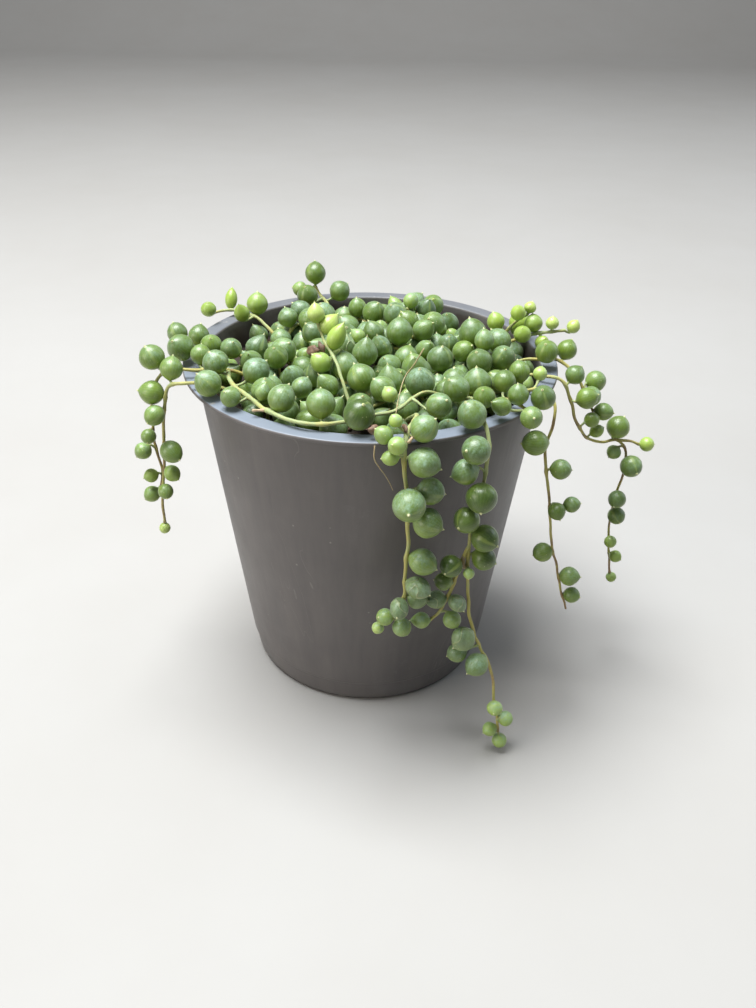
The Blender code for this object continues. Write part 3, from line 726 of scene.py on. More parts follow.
    def fit_radii(self, centres: Array, radii: Array, points: Array, own: Array,
                  mat: Array) -> Array:
        """Shrink each pearl until it clears its neighbours, the stems, the wall and the mix.

        Args:
            centres: Pearl centres (mm).
            radii: Pearl radii (mm).
            points: Points along the drawn stems (mm).
            own: Whether each stem point is on the pearl's own strand.
            mat: Whether each pearl is in the mat.

        Returns:
            Radii that fit (mm).
        """
        offset = np.linalg.norm(centres[:, None] - centres[None], axis=2)
        np.fill_diagonal(offset, 1e9)
        share = radii[:, None] / (radii[:, None] + radii[None])
        limit = (offset * share).min(axis=1) - 0.5 * self.pearl_gap_mm + 0.05
        clear = self.pot.clearance_mm
        to_stem = np.linalg.norm(centres[:, None] - points[None], axis=2)
        to_stem = np.where(own, 1e9, to_stem).min(axis=1)
        limit = np.minimum(limit, to_stem - self.stem_radius_mm - clear - 0.1)
        radial = np.hypot(centres[:, 0], centres[:, 1])
        low = np.minimum(centres[:, 2], self.pot.height_mm)
        wall = self.pot.inner_radius(low) - radial - clear
        above_mix = centres[:, 2] - self.pot.mix_height(radial) - clear
        limit = np.where(mat, np.minimum(limit, np.minimum(wall, above_mix)), limit)
        return np.minimum(radii, limit)

    def settle(self) -> tuple[Array, Array, Array]:
        """Let every pearl find its place.

        Returns:
            Centres (mm), radii (mm) and strand numbers, the drawn strands counted first.
        """
        rng = np.random.default_rng(self.seed)
        drawn = np.array([pearl for s in self.strands for pearl in s.pearls], dtype=float)
        drawn_owner = np.repeat(np.arange(len(self.strands)), [len(s.pearls) for s in self.strands])
        mat_at, mat_radius, mat_owner = self.start_mat(rng)
        centres = np.vstack([drawn[:, :3], mat_at])
        radii = np.concatenate([0.5 * drawn[:, 3], mat_radius])
        owner = np.concatenate([drawn_owner, mat_owner + len(self.strands)])
        mat = np.arange(len(centres)) >= len(drawn)
        ease = np.where(mat, 1.0, self.drawn_ease)
        index = np.where(mat)[0]
        same = owner[index[:-1]] == owner[index[1:]]
        links = np.stack([index[:-1][same], index[1:][same]], axis=1)
        points, point_owner = self.stem_points()
        own = owner[:, None] == point_owner[None]
        room = np.where(own, self.own_stem_room_mm, self.stem_room_mm)
        reach = radii[:, None] + room
        for step in range(self.steps):
            centres[mat, 2] -= self.sink_mm * (1.0 - step / self.steps)
            centres[~mat] += self.homing * (drawn[:, :3] - centres[~mat])
            centres += self.link_share * self.pull_links(centres, radii, links)
            centres += self.push_share * self.push_apart(centres, radii, ease)
            centres += self.stem_share * self.push_off_stems(centres, points, reach)
            centres = self.keep_in_pot(centres, radii, mat)
        return centres, self.fit_radii(centres, radii, points, own, mat), owner


def ripple(places: Array, span: float, seed: int, waves: int = 14) -> Array:
    """Add up plane waves that run in all directions, for an even, lumpy surface.

    Each wave is the sine of a place's distance along the wave's own direction, over its own
    length, plus its own start. Lengths lie between half the span and the span.

    Args:
        places: Points along the last axis.
        span: Longest wave, in the points' own unit.
        seed: Seed of the directions, lengths and starts.
        waves: How many waves.

    Returns:
        One value for each point, mostly within -1 and 1.
    """
    rng = np.random.default_rng(seed)
    along = unit(rng.normal(size=(waves, places.shape[-1])))
    along *= (2.0 * math.pi / (span * rng.uniform(0.5, 1.0, waves)))[:, None]
    start = rng.uniform(0.0, 2.0 * math.pi, waves)
    return np.sin(places @ along.T + start).sum(-1) / math.sqrt(waves)


@dataclass
class Surface:
    """Points, faces and point attributes of one mesh, gathered from several shapes (mm)."""

    points: list[Array] = field(default_factory=list)
    faces: list[Array] = field(default_factory=list)
    moods: list[Array] = field(default_factory=list)
    locals: list[Array] = field(default_factory=list)
    count: int = 0

    def add(self, points: Array, faces: list[Array], mood: Array, local: Array) -> None:
        """Take in one shape.

        Args:
            points: Its points (mm), one per row.
            faces: Arrays of corner numbers, one array for each number of corners.
            mood: Colour attribute, four numbers for each point.
            local: Each point's place in the shape's own terms, three numbers.
        """
        self.points.append(points)
        self.moods.append(np.broadcast_to(mood, (len(points), 4)))
        self.locals.append(np.broadcast_to(local, (len(points), 3)))
        self.faces.extend(face + self.count for face in faces)
        self.count += len(points)

    def make(self, name: str, material: bpy.types.Material) -> bpy.types.Object:
        """Put the surface into a new object, smooth, in metres.

        Args:
            name: Name of the object and its mesh.
            material: Its material.

        Returns:
            The object, at the origin.
        """
        mesh = bpy.data.meshes.new(name)
        corners = [row for block in self.faces for row in block.tolist()]
        mesh.from_pydata((np.vstack(self.points) * MM).tolist(), [], corners)
        mood = mesh.attributes.new("mood", "FLOAT_COLOR", "POINT")
        mood.data.foreach_set("color", np.vstack(self.moods).astype(np.float32).ravel())
        local = mesh.attributes.new("own", "FLOAT_VECTOR", "POINT")
        local.data.foreach_set("vector", np.vstack(self.locals).astype(np.float32).ravel())
        mesh.materials.append(material)
        mesh.shade_smooth()
        mesh.update()
        obj = bpy.data.objects.new(name, mesh)
        bpy.context.scene.collection.objects.link(obj)
        return obj


def lathe_faces(rings: int, sides: int) -> list[Array]:
    """Faces of a grid of rings, each end of which closes on a pole.

    The rings' points are numbered first, then the first ring's pole and the last ring's.

    Args:
        rings: Number of rings.
        sides: Points in each ring.

    Returns:
        Corner numbers of the quads between rings, then of the triangles of each cap.
    """
    count = rings * sides
    side = np.arange(sides)
    turn = (side + 1) % sides
    low = np.arange(rings - 1)[:, None] * sides
    high, last = low + sides, count - sides
    quads = np.stack([low + side, low + turn, high + turn, high + side], axis=-1)
    return [quads.reshape(-1, 4),
            np.stack([turn, side, np.full(sides, count)], axis=-1),
            np.stack([last + side, last + turn, np.full(sides, count + 1)], axis=-1)]


def path_frames(path: Array) -> tuple[Array, Array]:
    """Carry two directions across a path along it without twisting.

    At each station the last direction loses its part along the path, and is made a unit again.

    Args:
        path: Stations, one per row.

    Returns:
        Two unit vectors across the path at each station.
    """
    tangent = unit(np.gradient(path, axis=0))
    side = np.array([0.0, 0.0, 1.0]) if abs(tangent[0, 2]) < 0.9 else np.array([1.0, 0.0, 0.0])
    across = np.cross(tangent[0], side)
    firsts = []
    for along in tangent:
        across = unit(across - along * (across @ along))
        firsts.append(across)
    first = np.array(firsts)
    return first, np.cross(tangent, first)


def add_tube(surface: Surface, path: Array, radius: Array, mood: Array, sides: int = 8) -> None:
    """Add a tube with rounded ends round a path.

    Ring i lies across the path at station i, and its point j is the station plus the radius
    times the cosine of turn j along one direction and its sine along the other.

    Args:
        surface: What the tube is added to.
        path: Stations (mm), one per row.
        radius: Radius at each station (mm).
        mood: Colour attribute at each station.
        sides: Points in each ring.
    """
    first, second = path_frames(path)
    turn = even_turns(sides)
    spoke = (first[:, None] * np.cos(turn)[None, :, None]
             + second[:, None] * np.sin(turn)[None, :, None])
    points = path[:, None] + spoke * radius[:, None, None]
    ends = np.stack([path[0] - unit(path[1] - path[0]) * radius[0] * TUBE_DOME,
                     path[-1] + unit(path[-1] - path[-2]) * radius[-1] * TUBE_DOME])
    along = distances(path)
    local = np.stack([np.broadcast_to(np.cos(turn), (len(path), sides)),
                      np.broadcast_to(np.sin(turn), (len(path), sides)),
                      np.broadcast_to(along[:, None], (len(path), sides))], axis=-1)
    moods = np.repeat(mood, sides, axis=0)
    surface.add(np.vstack([points.reshape(-1, 3), ends]), lathe_faces(len(path), sides),
                np.vstack([moods, mood[:1], mood[-1:]]),
                np.vstack([local.reshape(-1, 3), [[0.0, 0.0, 0.0], [0.0, 0.0, along[-1]]]]))


@dataclass
class PearlForm:
    """The shape of one leaf: a globe with a short neck at its stalk and a point at its tip.

    The cage is a globe of rings about its axis, and Subdivision Surface rounds it. growth makes
    up for what the rounding takes off the cage, round the axis and along it.
    """

    sides: int = 8
    ring_turns_deg: tuple[float, ...] = (15.0, 44.0, 75.0, 105.0, 136.0, 161.0, 175.5)
    growth: tuple[float, float] = (1.2, 1.05)
    neck: float = 1.2
    tip: float = 1.27
    tip_for_point: float = 0.7
    lift_for_point: float = 0.4
    levels: int = 2

    def cage(self, axis: Array, spin: Array, radius: Array, shape: Array) -> tuple[Array, Array]:
        """Work out the cages of many pearls at once.

        On ring i of turn a, point j of angle b is the radius times (sin a cos b, sin a sin b,
        -cos a), carried to the pearl's own axes. shape's columns are how long the pearl is for
        its width, how far its upper half narrows to a point, and how deep its folds are.

        Args:
            axis: Direction from stalk to tip of each pearl.
            spin: Turn of each pearl about its axis (radians).
            radius: Radius of each pearl (mm).
            shape: Length, point and fold of each pearl.

        Returns:
            Points relative to the pearls' centres (mm), and their places on the unit globe.
        """
        turn = np.radians(self.ring_turns_deg)[None, :, None]
        side = even_turns(self.sides)[None, None]
        length, point, fold = (shape[:, k, None, None] for k in range(3))
        upper = np.clip(-np.cos(turn), 0.0, 1.0)
        round_axis = np.sin(turn) * (1.0 - point * upper**2) * self.growth[0] / np.sqrt(length)
        crease = 1.0 - fold * (0.5 + 0.5 * np.cos(2.0 * side + spin[:, None, None]))
        round_axis = round_axis * crease
        height = self.lift_for_point * point * upper**4 - np.cos(turn) * self.growth[1]
        height = height * length + 0.0 * side
        x, y = round_axis * np.cos(side), round_axis * np.sin(side)
        rings = np.stack([x, y, height], axis=-1).reshape(len(axis), -1, 3)
        globe = np.stack([np.sin(turn) * np.cos(side), np.sin(turn) * np.sin(side),
                          -np.cos(turn) + 0.0 * side], axis=-1).reshape(1, -1, 3)
        ends = np.zeros((len(axis), 2, 3))
        ends[:, 0, 2] = -self.neck * shape[:, 0]
        ends[:, 1, 2] = (self.tip + self.tip_for_point * shape[:, 1]) * shape[:, 0]
        poles = np.array([[[0.0, 0.0, -1.0], [0.0, 0.0, 1.0]]])
        own = np.concatenate([globe, poles], axis=1).repeat(len(axis), axis=0)
        unit_points = np.concatenate([rings, ends], axis=1) * radius[:, None, None]
        side_axis = np.where(np.abs(axis[:, 2:]) < 0.9, [[0.0, 0.0, 1.0]], [[1.0, 0.0, 0.0]])
        first = unit(np.cross(axis, side_axis))
        second = np.cross(axis, first)
        swing = (first * np.cos(spin)[:, None] + second * np.sin(spin)[:, None],
                 second * np.cos(spin)[:, None] - first * np.sin(spin)[:, None])
        basis = np.stack([*swing, axis], axis=1)
        return np.einsum("npk,nkc->npc", unit_points, basis), own

    def add(self, surface: Surface, centres: Array, radii: Array, axis: Array, spin: Array,
            shape: Array, mood: Array) -> None:
        """Add many pearls to a surface.

        Args:
            surface: What they are added to.
            centres: Pearl centres (mm).
            radii: Pearl radii (mm).
            axis: Direction from stalk to tip of each.
            spin: Turn of each about its axis (radians).
            shape: Length, point and fold of each.
            mood: Colour attribute of each.
        """
        points, own = self.cage(axis, spin, radii, shape)
        each = points.shape[1]
        step = (np.arange(len(centres)) * each)[:, None, None]
        faces = [(face[None] + step).reshape(-1, face.shape[1])
                 for face in lathe_faces(len(self.ring_turns_deg), self.sides)]
        surface.add((points + centres[:, None]).reshape(-1, 3), faces,
                    np.repeat(mood, each, axis=0), own.reshape(-1, 3))

    def finish(self, obj: bpy.types.Object) -> None:
        """Round the cages with a subdivision surface.

        Args:
            obj: The piece that holds the cages.
        """
        rounding = obj.modifiers.new("rounding", "SUBSURF")
        rounding.levels = self.levels
        rounding.render_levels = self.levels


@dataclass
class StalkForm:
    """The short stalk that joins a pearl to its stem."""

    radius_mm: float = 0.33
    end_flare: float = 0.7
    bend: float = 0.45
    stations: int = 6
    sides: int = 6

    def add(self, surface: Surface, feet: Array, start_way: Array, ends: Array, end_way: Array,
            mood: Array) -> None:
        """Add a curved stalk for each pearl.

        The middle line is a cubic between foot and pearl that leaves the stem one way and
        reaches the pearl the other way, and it widens towards both ends.

        Args:
            surface: What the stalks are added to.
            feet: Where each leaves its stem (mm).
            start_way: Direction in which it leaves.
            ends: Where each reaches its pearl (mm).
            end_way: Direction in which it arrives.
            mood: Colour attribute of each.
        """
        t = np.linspace(0.0, 1.0, self.stations)[None, :, None]
        reach = np.linalg.norm(ends - feet, axis=1)[:, None, None] * self.bend
        pull = feet[:, None] + start_way[:, None] * reach
        push = ends[:, None] - end_way[:, None] * reach
        line = ((1 - t)**3 * feet[:, None] + 3 * (1 - t)**2 * t * pull
                + 3 * (1 - t) * t**2 * push + t**3 * ends[:, None])
        flare = self.radius_mm * (1.0 + self.end_flare * (2.0 * t[0, :, 0] - 1.0) ** 2)
        for path, tone in zip(line, mood):
            add_tube(surface, path, flare, np.tile(tone, (self.stations, 1)), self.sides)


@dataclass
class PotBuilder:
    """Turns the flanged pot and cuts its drainage holes."""

    form: PotForm
    segments: int = 160
    corner_stations: int = 6
    drain_holes: int = 4
    drain_radius_mm: float = 4.0
    drain_circle_mm: float = 24.0
    wall_rings: int = 24
    ring_gap_mm: float = 1.2
    hub_mm: float = 0.6
    step_round_mm: float = 0.3
    inner_corner_mm: float = 2.2
    crisp_deg: float = 38.0

    def corners(self) -> tuple[Array, Array]:
        """Radius and height of each corner of the pot's section, and how far it is rounded (mm).

        Returns:
            The corners, from the underside round the rim to the base, and their roundings.
        """
        form = self.form
        slope = (form.wall_top_radius_mm - form.foot_radius_mm) / form.height_mm
        under_rim = form.height_mm - form.rim_thickness_mm
        step_radius = form.foot_radius_mm + slope * form.step_height_mm
        low_radius = form.foot_radius_mm - form.step_mm
        rounding = form.rim_round_mm
        rows = np.array([
            (self.hub_mm, 0.0, 0.0),
            (low_radius - form.chamfer_mm * 0.6, 0.0, form.chamfer_mm),
            (low_radius, form.chamfer_mm, form.chamfer_mm * 0.6),
            (step_radius - form.step_mm, form.step_height_mm, self.step_round_mm),
            (step_radius, form.step_height_mm + form.step_mm, self.step_round_mm),
            (form.wall_top_radius_mm, under_rim - 2.0 * rounding, 0.5),
            (form.wall_top_radius_mm + 1.5 * rounding, under_rim, 0.4),
            (form.rim_radius_mm, under_rim, rounding * 1.2),
            (form.rim_radius_mm, form.height_mm, rounding * 1.6),
            (form.wall_top_radius_mm - form.wall_mm, form.height_mm, rounding * 2.0),
            (form.inner_radius(form.base_mm), form.base_mm, self.inner_corner_mm),
            (self.hub_mm, form.base_mm, 0.0),
        ])
        return rows[:, :2], rows[:, 2]

    def section(self) -> Array:
        """Round the section's corners and divide its long runs.

        Each corner is cut back by its rounding along both sides, and the two cuts are joined by
        the parabola that touches both sides. Runs longer than the rings' spacing are divided.

        Returns:
            Radius and height along the section (mm), one station per row.
        """
        corners, rounding = self.corners()
        before = unit(corners[:-2] - corners[1:-1])
        after = unit(corners[2:] - corners[1:-1])
        cut = rounding[1:-1, None]
        start, end = corners[1:-1] + before * cut, corners[1:-1] + after * cut
        t = np.linspace(0.0, 1.0, self.corner_stations)[None, :, None]
        arc = ((1 - t)**2 * start[:, None] + 2 * (1 - t) * t * corners[1:-1, None]
               + t**2 * end[:, None])
        line = np.vstack([corners[:1], arc.reshape(-1, 2), corners[-1:]])
        along = distances(line)
        extra = np.arange(0.0, along[-1], self.form.height_mm / self.wall_rings)
        gap = np.abs(extra[:, None] - along[None]).min(axis=1)
        stations = np.sort(np.concatenate([along, extra[gap > self.ring_gap_mm]]))
        return np.stack([np.interp(stations, along, line[:, k]) for k in range(2)], axis=1)

    def cut_drains(self, pot: bpy.types.Object) -> None:
        """Cut the round drainage holes through the base, spaced evenly on their circle.

        Args:
            pot: The pot, whose mesh is replaced.
        """
        drains = Surface()
        for k in range(self.drain_holes):
            turn = 2.0 * math.pi * (k + 0.5) / self.drain_holes
            place = np.array([math.cos(turn), math.sin(turn), 0.0]) * self.drain_circle_mm
            path = place + np.array([[0.0, 0.0, -4.0], [0.0, 0.0, 1.0], [0.0, 0.0, 6.0]])
            radius = np.full(3, self.drain_radius_mm)
            add_tube(drains, path, radius, np.zeros((3, 4)), sides=36)
        cutter = drains.make("drain_cutter", pot.data.materials[0])
        cut = pot.modifiers.new("drains", "BOOLEAN")
        cut.operation = "DIFFERENCE"
        cut.solver = "EXACT"
        cut.object = cutter
        graph = bpy.context.evaluated_depsgraph_get()
        mesh = bpy.data.meshes.new_from_object(pot.evaluated_get(graph))
        pot.modifiers.clear()
        pot.data = mesh
        bpy.data.objects.remove(cutter)

    def build(self, material: bpy.types.Material) -> bpy.types.Object:
        """Turn the section about the pot's axis and cut the holes.

        Args:
            material: The pot's plastic.

        Returns:
            The pot.
        """
        section = self.section()
        turn = even_turns(self.segments)
        radius, z = section[:, :1], section[:, 1:]
        grid = np.stack([radius * np.cos(turn), radius * np.sin(turn), z + 0.0 * turn], axis=-1)
        ends = np.array([[0.0, 0.0, section[0, 1]], [0.0, 0.0, section[-1, 1]]])
        shell = Surface()
        shell.add(np.vstack([grid.reshape(-1, 3), ends]),
                  lathe_faces(len(section), self.segments), np.zeros(4), np.zeros(3))
        pot = shell.make("flanged_pot", material)
        self.cut_drains(pot)
        pot.data.shade_smooth()
        pot.data.set_sharp_from_angle(angle=math.radians(self.crisp_deg))
        return pot


@dataclass
class MixBuilder:
    """Makes the potting mix: a rough crown, and loose crumbs, bark and grit on it."""

    form: PotForm
    segments: int = 150
    top_rings: int = 46
    lump_mm: float = 0.9
    crumbs: int = 900
    crumb_mm: tuple[float, float] = (0.45, 1.5)
    grit_share: float = 0.05
    long_ripple_mm: float = 15.0
    short_ripple_mm: float = 4.0
    sink_mm: float = 0.4
    foot_round_mm: tuple[float, float] = (1.5, 0.2)
    shoulder_mm: float = 1.5
    hub_share: float = 0.02
    crumb_margin_mm: float = 2.0
    body_mood: Mood = (0.15, 0.5, 0.0, 0.0)
    seed: int = 31

    def top(self, x: Array, y: Array) -> Array:
        """Height of the rough crown: the mix's height plus long and short ripples (mm).

        Args:
            x: Places across (mm).
            y: Places from front to back (mm).

        Returns:
            The height at each place (mm).
        """
        places = np.stack([x, y], axis=-1)
        rough = 0.6 * ripple(places, self.long_ripple_mm, self.seed)
        rough = rough + 0.4 * ripple(places, self.short_ripple_mm, self.seed + 1)
        return self.form.mix_height(np.hypot(x, y)) - self.sink_mm + self.lump_mm * 0.6 * rough

    def plug(self, material: bpy.types.Material) -> bpy.types.Object:
        """Make the body of the mix, closed below and inside the wall.

        Args:
            material: The mix's finish.

        Returns:
            The plug of mix.
        """
        form = self.form
        low = form.base_mm + form.clearance_mm
        edge = form.inner_radius(form.mix_edge_z_mm) - form.clearance_mm
        side_z = np.array([low, low + 0.8, 30.0, 60.0, form.mix_edge_z_mm - self.shoulder_mm])
        side_r = form.inner_radius(side_z) - form.clearance_mm
        side_r -= np.array([*self.foot_round_mm, 0.0, 0.0, 0.0])
        turn = even_turns(self.segments)
        wall = np.stack([side_r[:, None] * np.cos(turn), side_r[:, None] * np.sin(turn),
                         side_z[:, None] + 0.0 * turn], axis=-1)
        share = np.linspace(1.0, self.hub_share, self.top_rings)[:, None]
        x, y = edge * share * np.cos(turn), edge * share * np.sin(turn)
        crown = np.stack([x, y, self.top(x, y)], axis=-1)
        grid = np.concatenate([wall, crown], axis=0)
        ends = np.array([[0.0, 0.0, low], [0.0, 0.0, float(self.top(np.zeros(1), np.zeros(1))[0])]])
        soil = Surface()
        soil.add(np.vstack([grid.reshape(-1, 3), ends]), lathe_faces(len(grid), self.segments),
                 np.array(self.body_mood), np.zeros(3))
        return soil.make("potting_mix_body", material)

    def loose(self, material: bpy.types.Material) -> bpy.types.Object:
        """Scatter crumbs over the crown.

        Each crumb is a twenty-sided lump with its corners moved in and out, stretched along one
        direction, turned at random and set half into the mix.

        Args:
            material: The mix's finish.

        Returns:
            All the crumbs as one piece.
        """
        rng = np.random.default_rng(self.seed)
        golden = (1.0 + math.sqrt(5.0)) / 2.0
        signs = np.array([(a, b) for a in (-1.0, 1.0) for b in (-golden, golden)])
        zeros = np.zeros((4, 1))
        lump = np.vstack([np.hstack([zeros, signs]), np.hstack([signs, zeros]),
                          np.hstack([signs[:, 1:], zeros, signs[:, :1]])])
        near = np.linalg.norm(lump[:, None] - lump[None], axis=2)
        joined = np.abs(near - 2.0) < 0.01
        corners = range(len(lump))
        trios = np.array([(a, b, c) for a in corners for b in corners[a + 1:]
                          for c in corners[b + 1:]
                          if joined[a, b] and joined[b, c] and joined[a, c]])
        first, second, third = (lump[trios[:, k]] for k in range(3))
        normal = np.cross(second - first, third - first)
        inward = (normal * lump[trios].mean(axis=1)).sum(1) < 0.0
        trios[inward] = trios[inward][:, ::-1]
        turn = rng.uniform(0.0, 2.0 * math.pi, self.crumbs)
        edge = self.form.inner_radius(self.form.mix_edge_z_mm) - self.crumb_margin_mm
        radial = edge * np.sqrt(rng.random(self.crumbs))
        x, y = radial * np.cos(turn), radial * np.sin(turn)
        size = 0.5 * rng.uniform(*self.crumb_mm, self.crumbs) * (1.0 + rng.random(self.crumbs) ** 6)
        stretch = np.stack([1.0 + 1.6 * rng.random(self.crumbs) ** 3, np.ones(self.crumbs),
                            0.45 + 0.5 * rng.random(self.crumbs)], axis=1)
        jitter = rng.uniform(0.7, 1.15, (self.crumbs, len(lump), 1))
        points = unit(lump)[None] * jitter * stretch[:, None] * size[:, None, None]
        basis = np.linalg.qr(rng.normal(size=(self.crumbs, 3, 3)))[0]
        basis[:, 2] *= np.linalg.det(basis)[:, None]
        points = np.einsum("npk,nkc->npc", points, basis)
        places = np.stack([x, y, self.top(x, y) + 0.25 * size], axis=-1)
        grit = rng.random(self.crumbs) < self.grit_share
        none = np.zeros(self.crumbs)
        mood = np.stack([np.where(grit, 1.0, 0.7 * rng.random(self.crumbs) ** 2),
                         rng.random(self.crumbs), none, none], axis=1)
        step = (np.arange(self.crumbs) * len(lump))[:, None, None]
        scatter = Surface()
        scatter.add((points + places[:, None]).reshape(-1, 3),
                    [(trios[None] + step).reshape(-1, 3)],
                    np.repeat(mood, len(lump), axis=0), np.zeros(3))
        return scatter.make("potting_mix_crumbs", material)


@dataclass
class StrandBuilder:
    """Grows the visible stem, stalks and pearls of one strand."""

    pot: PotForm
    pearl: PearlForm = field(default_factory=PearlForm)
    stalk: StalkForm = field(default_factory=StalkForm)
    step_mm: float = 0.9
    node_swell: float = 0.35
    node_reach_mm: float = 0.9
    thread_mm: float = 0.19
    stub_mm: float = 0.42
    mat_girth_mm: float = 0.5
    taper: float = 0.33
    wander_mm: float = 0.12
    rooted_below_mm: float = 100.0
    over_rim_mm: float = 103.5
    hang: float = 0.35
    rise: float = 0.45
    young_rise: float = 1.3
    chance_lean: float = 0.16
    mat_lean: float = 0.42
    stalk_age: float = 0.12
    thread_mood: Mood = (0.1, 0.3, 0.75, 0.0)
    stub_mood: Mood = (1.0, 0.2, 1.0, 0.0)
    withered_mood: Mood = (1.0, 0.3, 0.75, 1.0)
    withered_shape: Point = (1.35, 0.35, 0.5)
    crumple_mm: float = 0.12
    seed: int = 5

    def stem_line(self, route: Array, girth: float, feet: Array) -> tuple[Array, Array]:
        """Smooth a stem's route and work out its radius along it.

        The radius falls by a third from root to tip, wanders by a few percent, and swells round
        each stalk by a bell curve of the distance to it.

        Args:
            route: Knots of the route (mm).
            girth: Radius at the root (mm).
            feet: Where stalks leave the stem (mm).

        Returns:
            Stations and radii (mm).
        """
        path = smooth_path(route, self.step_mm)
        path += self.wander_mm * np.stack([ripple(path, 9.0, 40 + k, 6) for k in range(3)], axis=1)
        share = np.linspace(0.0, 1.0, len(path))
        radius = girth * (1.0 - self.taper * share) * (1.0 + 0.06 * ripple(path, 5.0, 50, 6))
        near = np.linalg.norm(path[:, None] - feet[None], axis=2).min(axis=1)
        return path, radius * (1.0 + self.node_swell * np.exp(-((near / self.node_reach_mm) ** 2)))

    @staticmethod
    def stem_mood(path: Array, growth: Growth, tone: float) -> Array:
        """Colour attribute along a stem.

        Args:
            path: Stations (mm).
            growth: How old the strand is.
            tone: Chance tone of the strand, 0 to 1.

        Returns:
            Age, tone, dryness and 0 at each station.
        """
        drop = np.clip((RIM_TOP_MM - path[:, 2]) / LONG_DROP_MM, 0.0, 1.0)
        aged = STEM_AGE[growth] + 0.25 * np.minimum(6.0 * drop, 1.0) + 0.15 * drop
        aged = np.clip(aged + 0.15 * ripple(path, 14.0, 60, 8), 0.0, 1.0)
        none = np.zeros(len(path))
        return np.stack([aged, np.full(len(path), tone), none, none], axis=1)

    @staticmethod
    def marked(strand: Strand, mark: Mark) -> Array:
        """Whether each pearl of a strand carries a mark."""
        return np.isin(np.arange(len(strand.pearls)), strand.marks.get(mark, ()))

    def pearl_mood(self, strand: Strand, rng: np.random.Generator) -> tuple[Array, Array]:
        """Colour attribute and shape of each pearl of a drawn strand.

        Args:
            strand: The strand.
            rng: Source of chance.

        Returns:
            Youth, tone, wax and dryness of each pearl, and its length, point and fold.
        """
        count = len(strand.pearls)
        young, yellow = self.marked(strand, Mark.YOUNG), self.marked(strand, Mark.YELLOW)
        dry, dark = self.marked(strand, Mark.SHRIVELLED), self.marked(strand, Mark.DARK)
        point, long = self.marked(strand, Mark.POINTED), self.marked(strand, Mark.LONG)
        small = np.clip((5.0 - np.array(strand.pearls)[:, 3]) / 4.0, 0.0, 0.4)
        youths = (PEARL_YOUTH[strand.growth] + small + 0.25 * young + 0.45 * yellow
                  + rng.uniform(-0.08, 0.08, count))
        tones = np.where(dark, 0.05, rng.uniform(0.25, 0.95, count))
        waxes = np.where(dark, 0.08, PEARL_WAX[strand.growth] + rng.uniform(-0.15, 0.15, count))
        mood = np.stack([np.clip(youths, 0.0, 1.0), tones, waxes, 1.0 * dry], axis=1)
        shape = np.stack([1.0 + 0.35 * long + 0.1 * point + 0.03 * rng.normal(size=count),
                          0.04 + 0.14 * rng.random(count) + 0.3 * point + 0.16 * long, 0.24 * dry],
                         axis=1)
        return mood, shape

    def make_pair(self, name: str, stems: Surface, pearls: Surface,
                  finishes: "Finishes") -> list[bpy.types.Object]:
        """Make a strand's two pieces: its stems with their stalks, and its pearls.

        Args:
            name: The strand's name.
            stems: Surface of its stems and stalks.
            pearls: Surface of its pearls.
            finishes: Materials.

        Returns:
            The two pieces.
        """
        stem = stems.make(f"{name}_stems", finishes.stem)
        beads = pearls.make(f"{name}_pearls", finishes.leaf)
        self.pearl.finish(beads)
        return [stem, beads]

    def add_stalks(self, stems: Surface, feet: Array, centres: Array, radii: Array, axis: Array,
                   tone: float) -> None:
        """Join each pearl's neck to its foot on the stem.

        Args:
            stems: What the stalks are added to.
            feet: Where each leaves its stem (mm).
            centres: Pearl centres (mm).
            radii: Pearl radii (mm).
            axis: Direction from stalk to tip of each pearl.
            tone: Chance tone of the strand, 0 to 1.
        """
        ends = centres - axis * (radii * 1.02)[:, None]
        leave = unit(ends - feet + 0.4 * (ends - feet).mean(axis=0))
        mood = np.tile([self.stalk_age, tone, 0.0, 0.0], (len(feet), 1))
        self.stalk.add(stems, feet, leave, ends + axis * 0.25, axis, mood)

    def add_withered(self, stems: Surface, leaves: Array, rng: np.random.Generator) -> None:
        """Add dead leaves: pearls shrunk into deep folds and crumpled, brown and dry.

        Args:
            stems: What the leaves are added to.
            leaves: Centre and diameter of each leaf (mm).
            rng: Source of chance.
        """
        rows = (len(leaves), 1)
        axis = unit(rng.normal(size=(len(leaves), 3)) + [0.0, 0.0, 0.4])
        spin = rng.random(len(leaves)) * 6.0
        crumpled = Surface()
        self.pearl.add(crumpled, leaves[:, :3], 0.5 * leaves[:, 3], axis, spin,
                       np.tile(self.withered_shape, rows), np.tile(self.withered_mood, rows))
        points = crumpled.points[0]
        points = points + rng.normal(scale=self.crumple_mm, size=points.shape)
        stems.add(points, crumpled.faces, crumpled.moods[0], crumpled.locals[0])

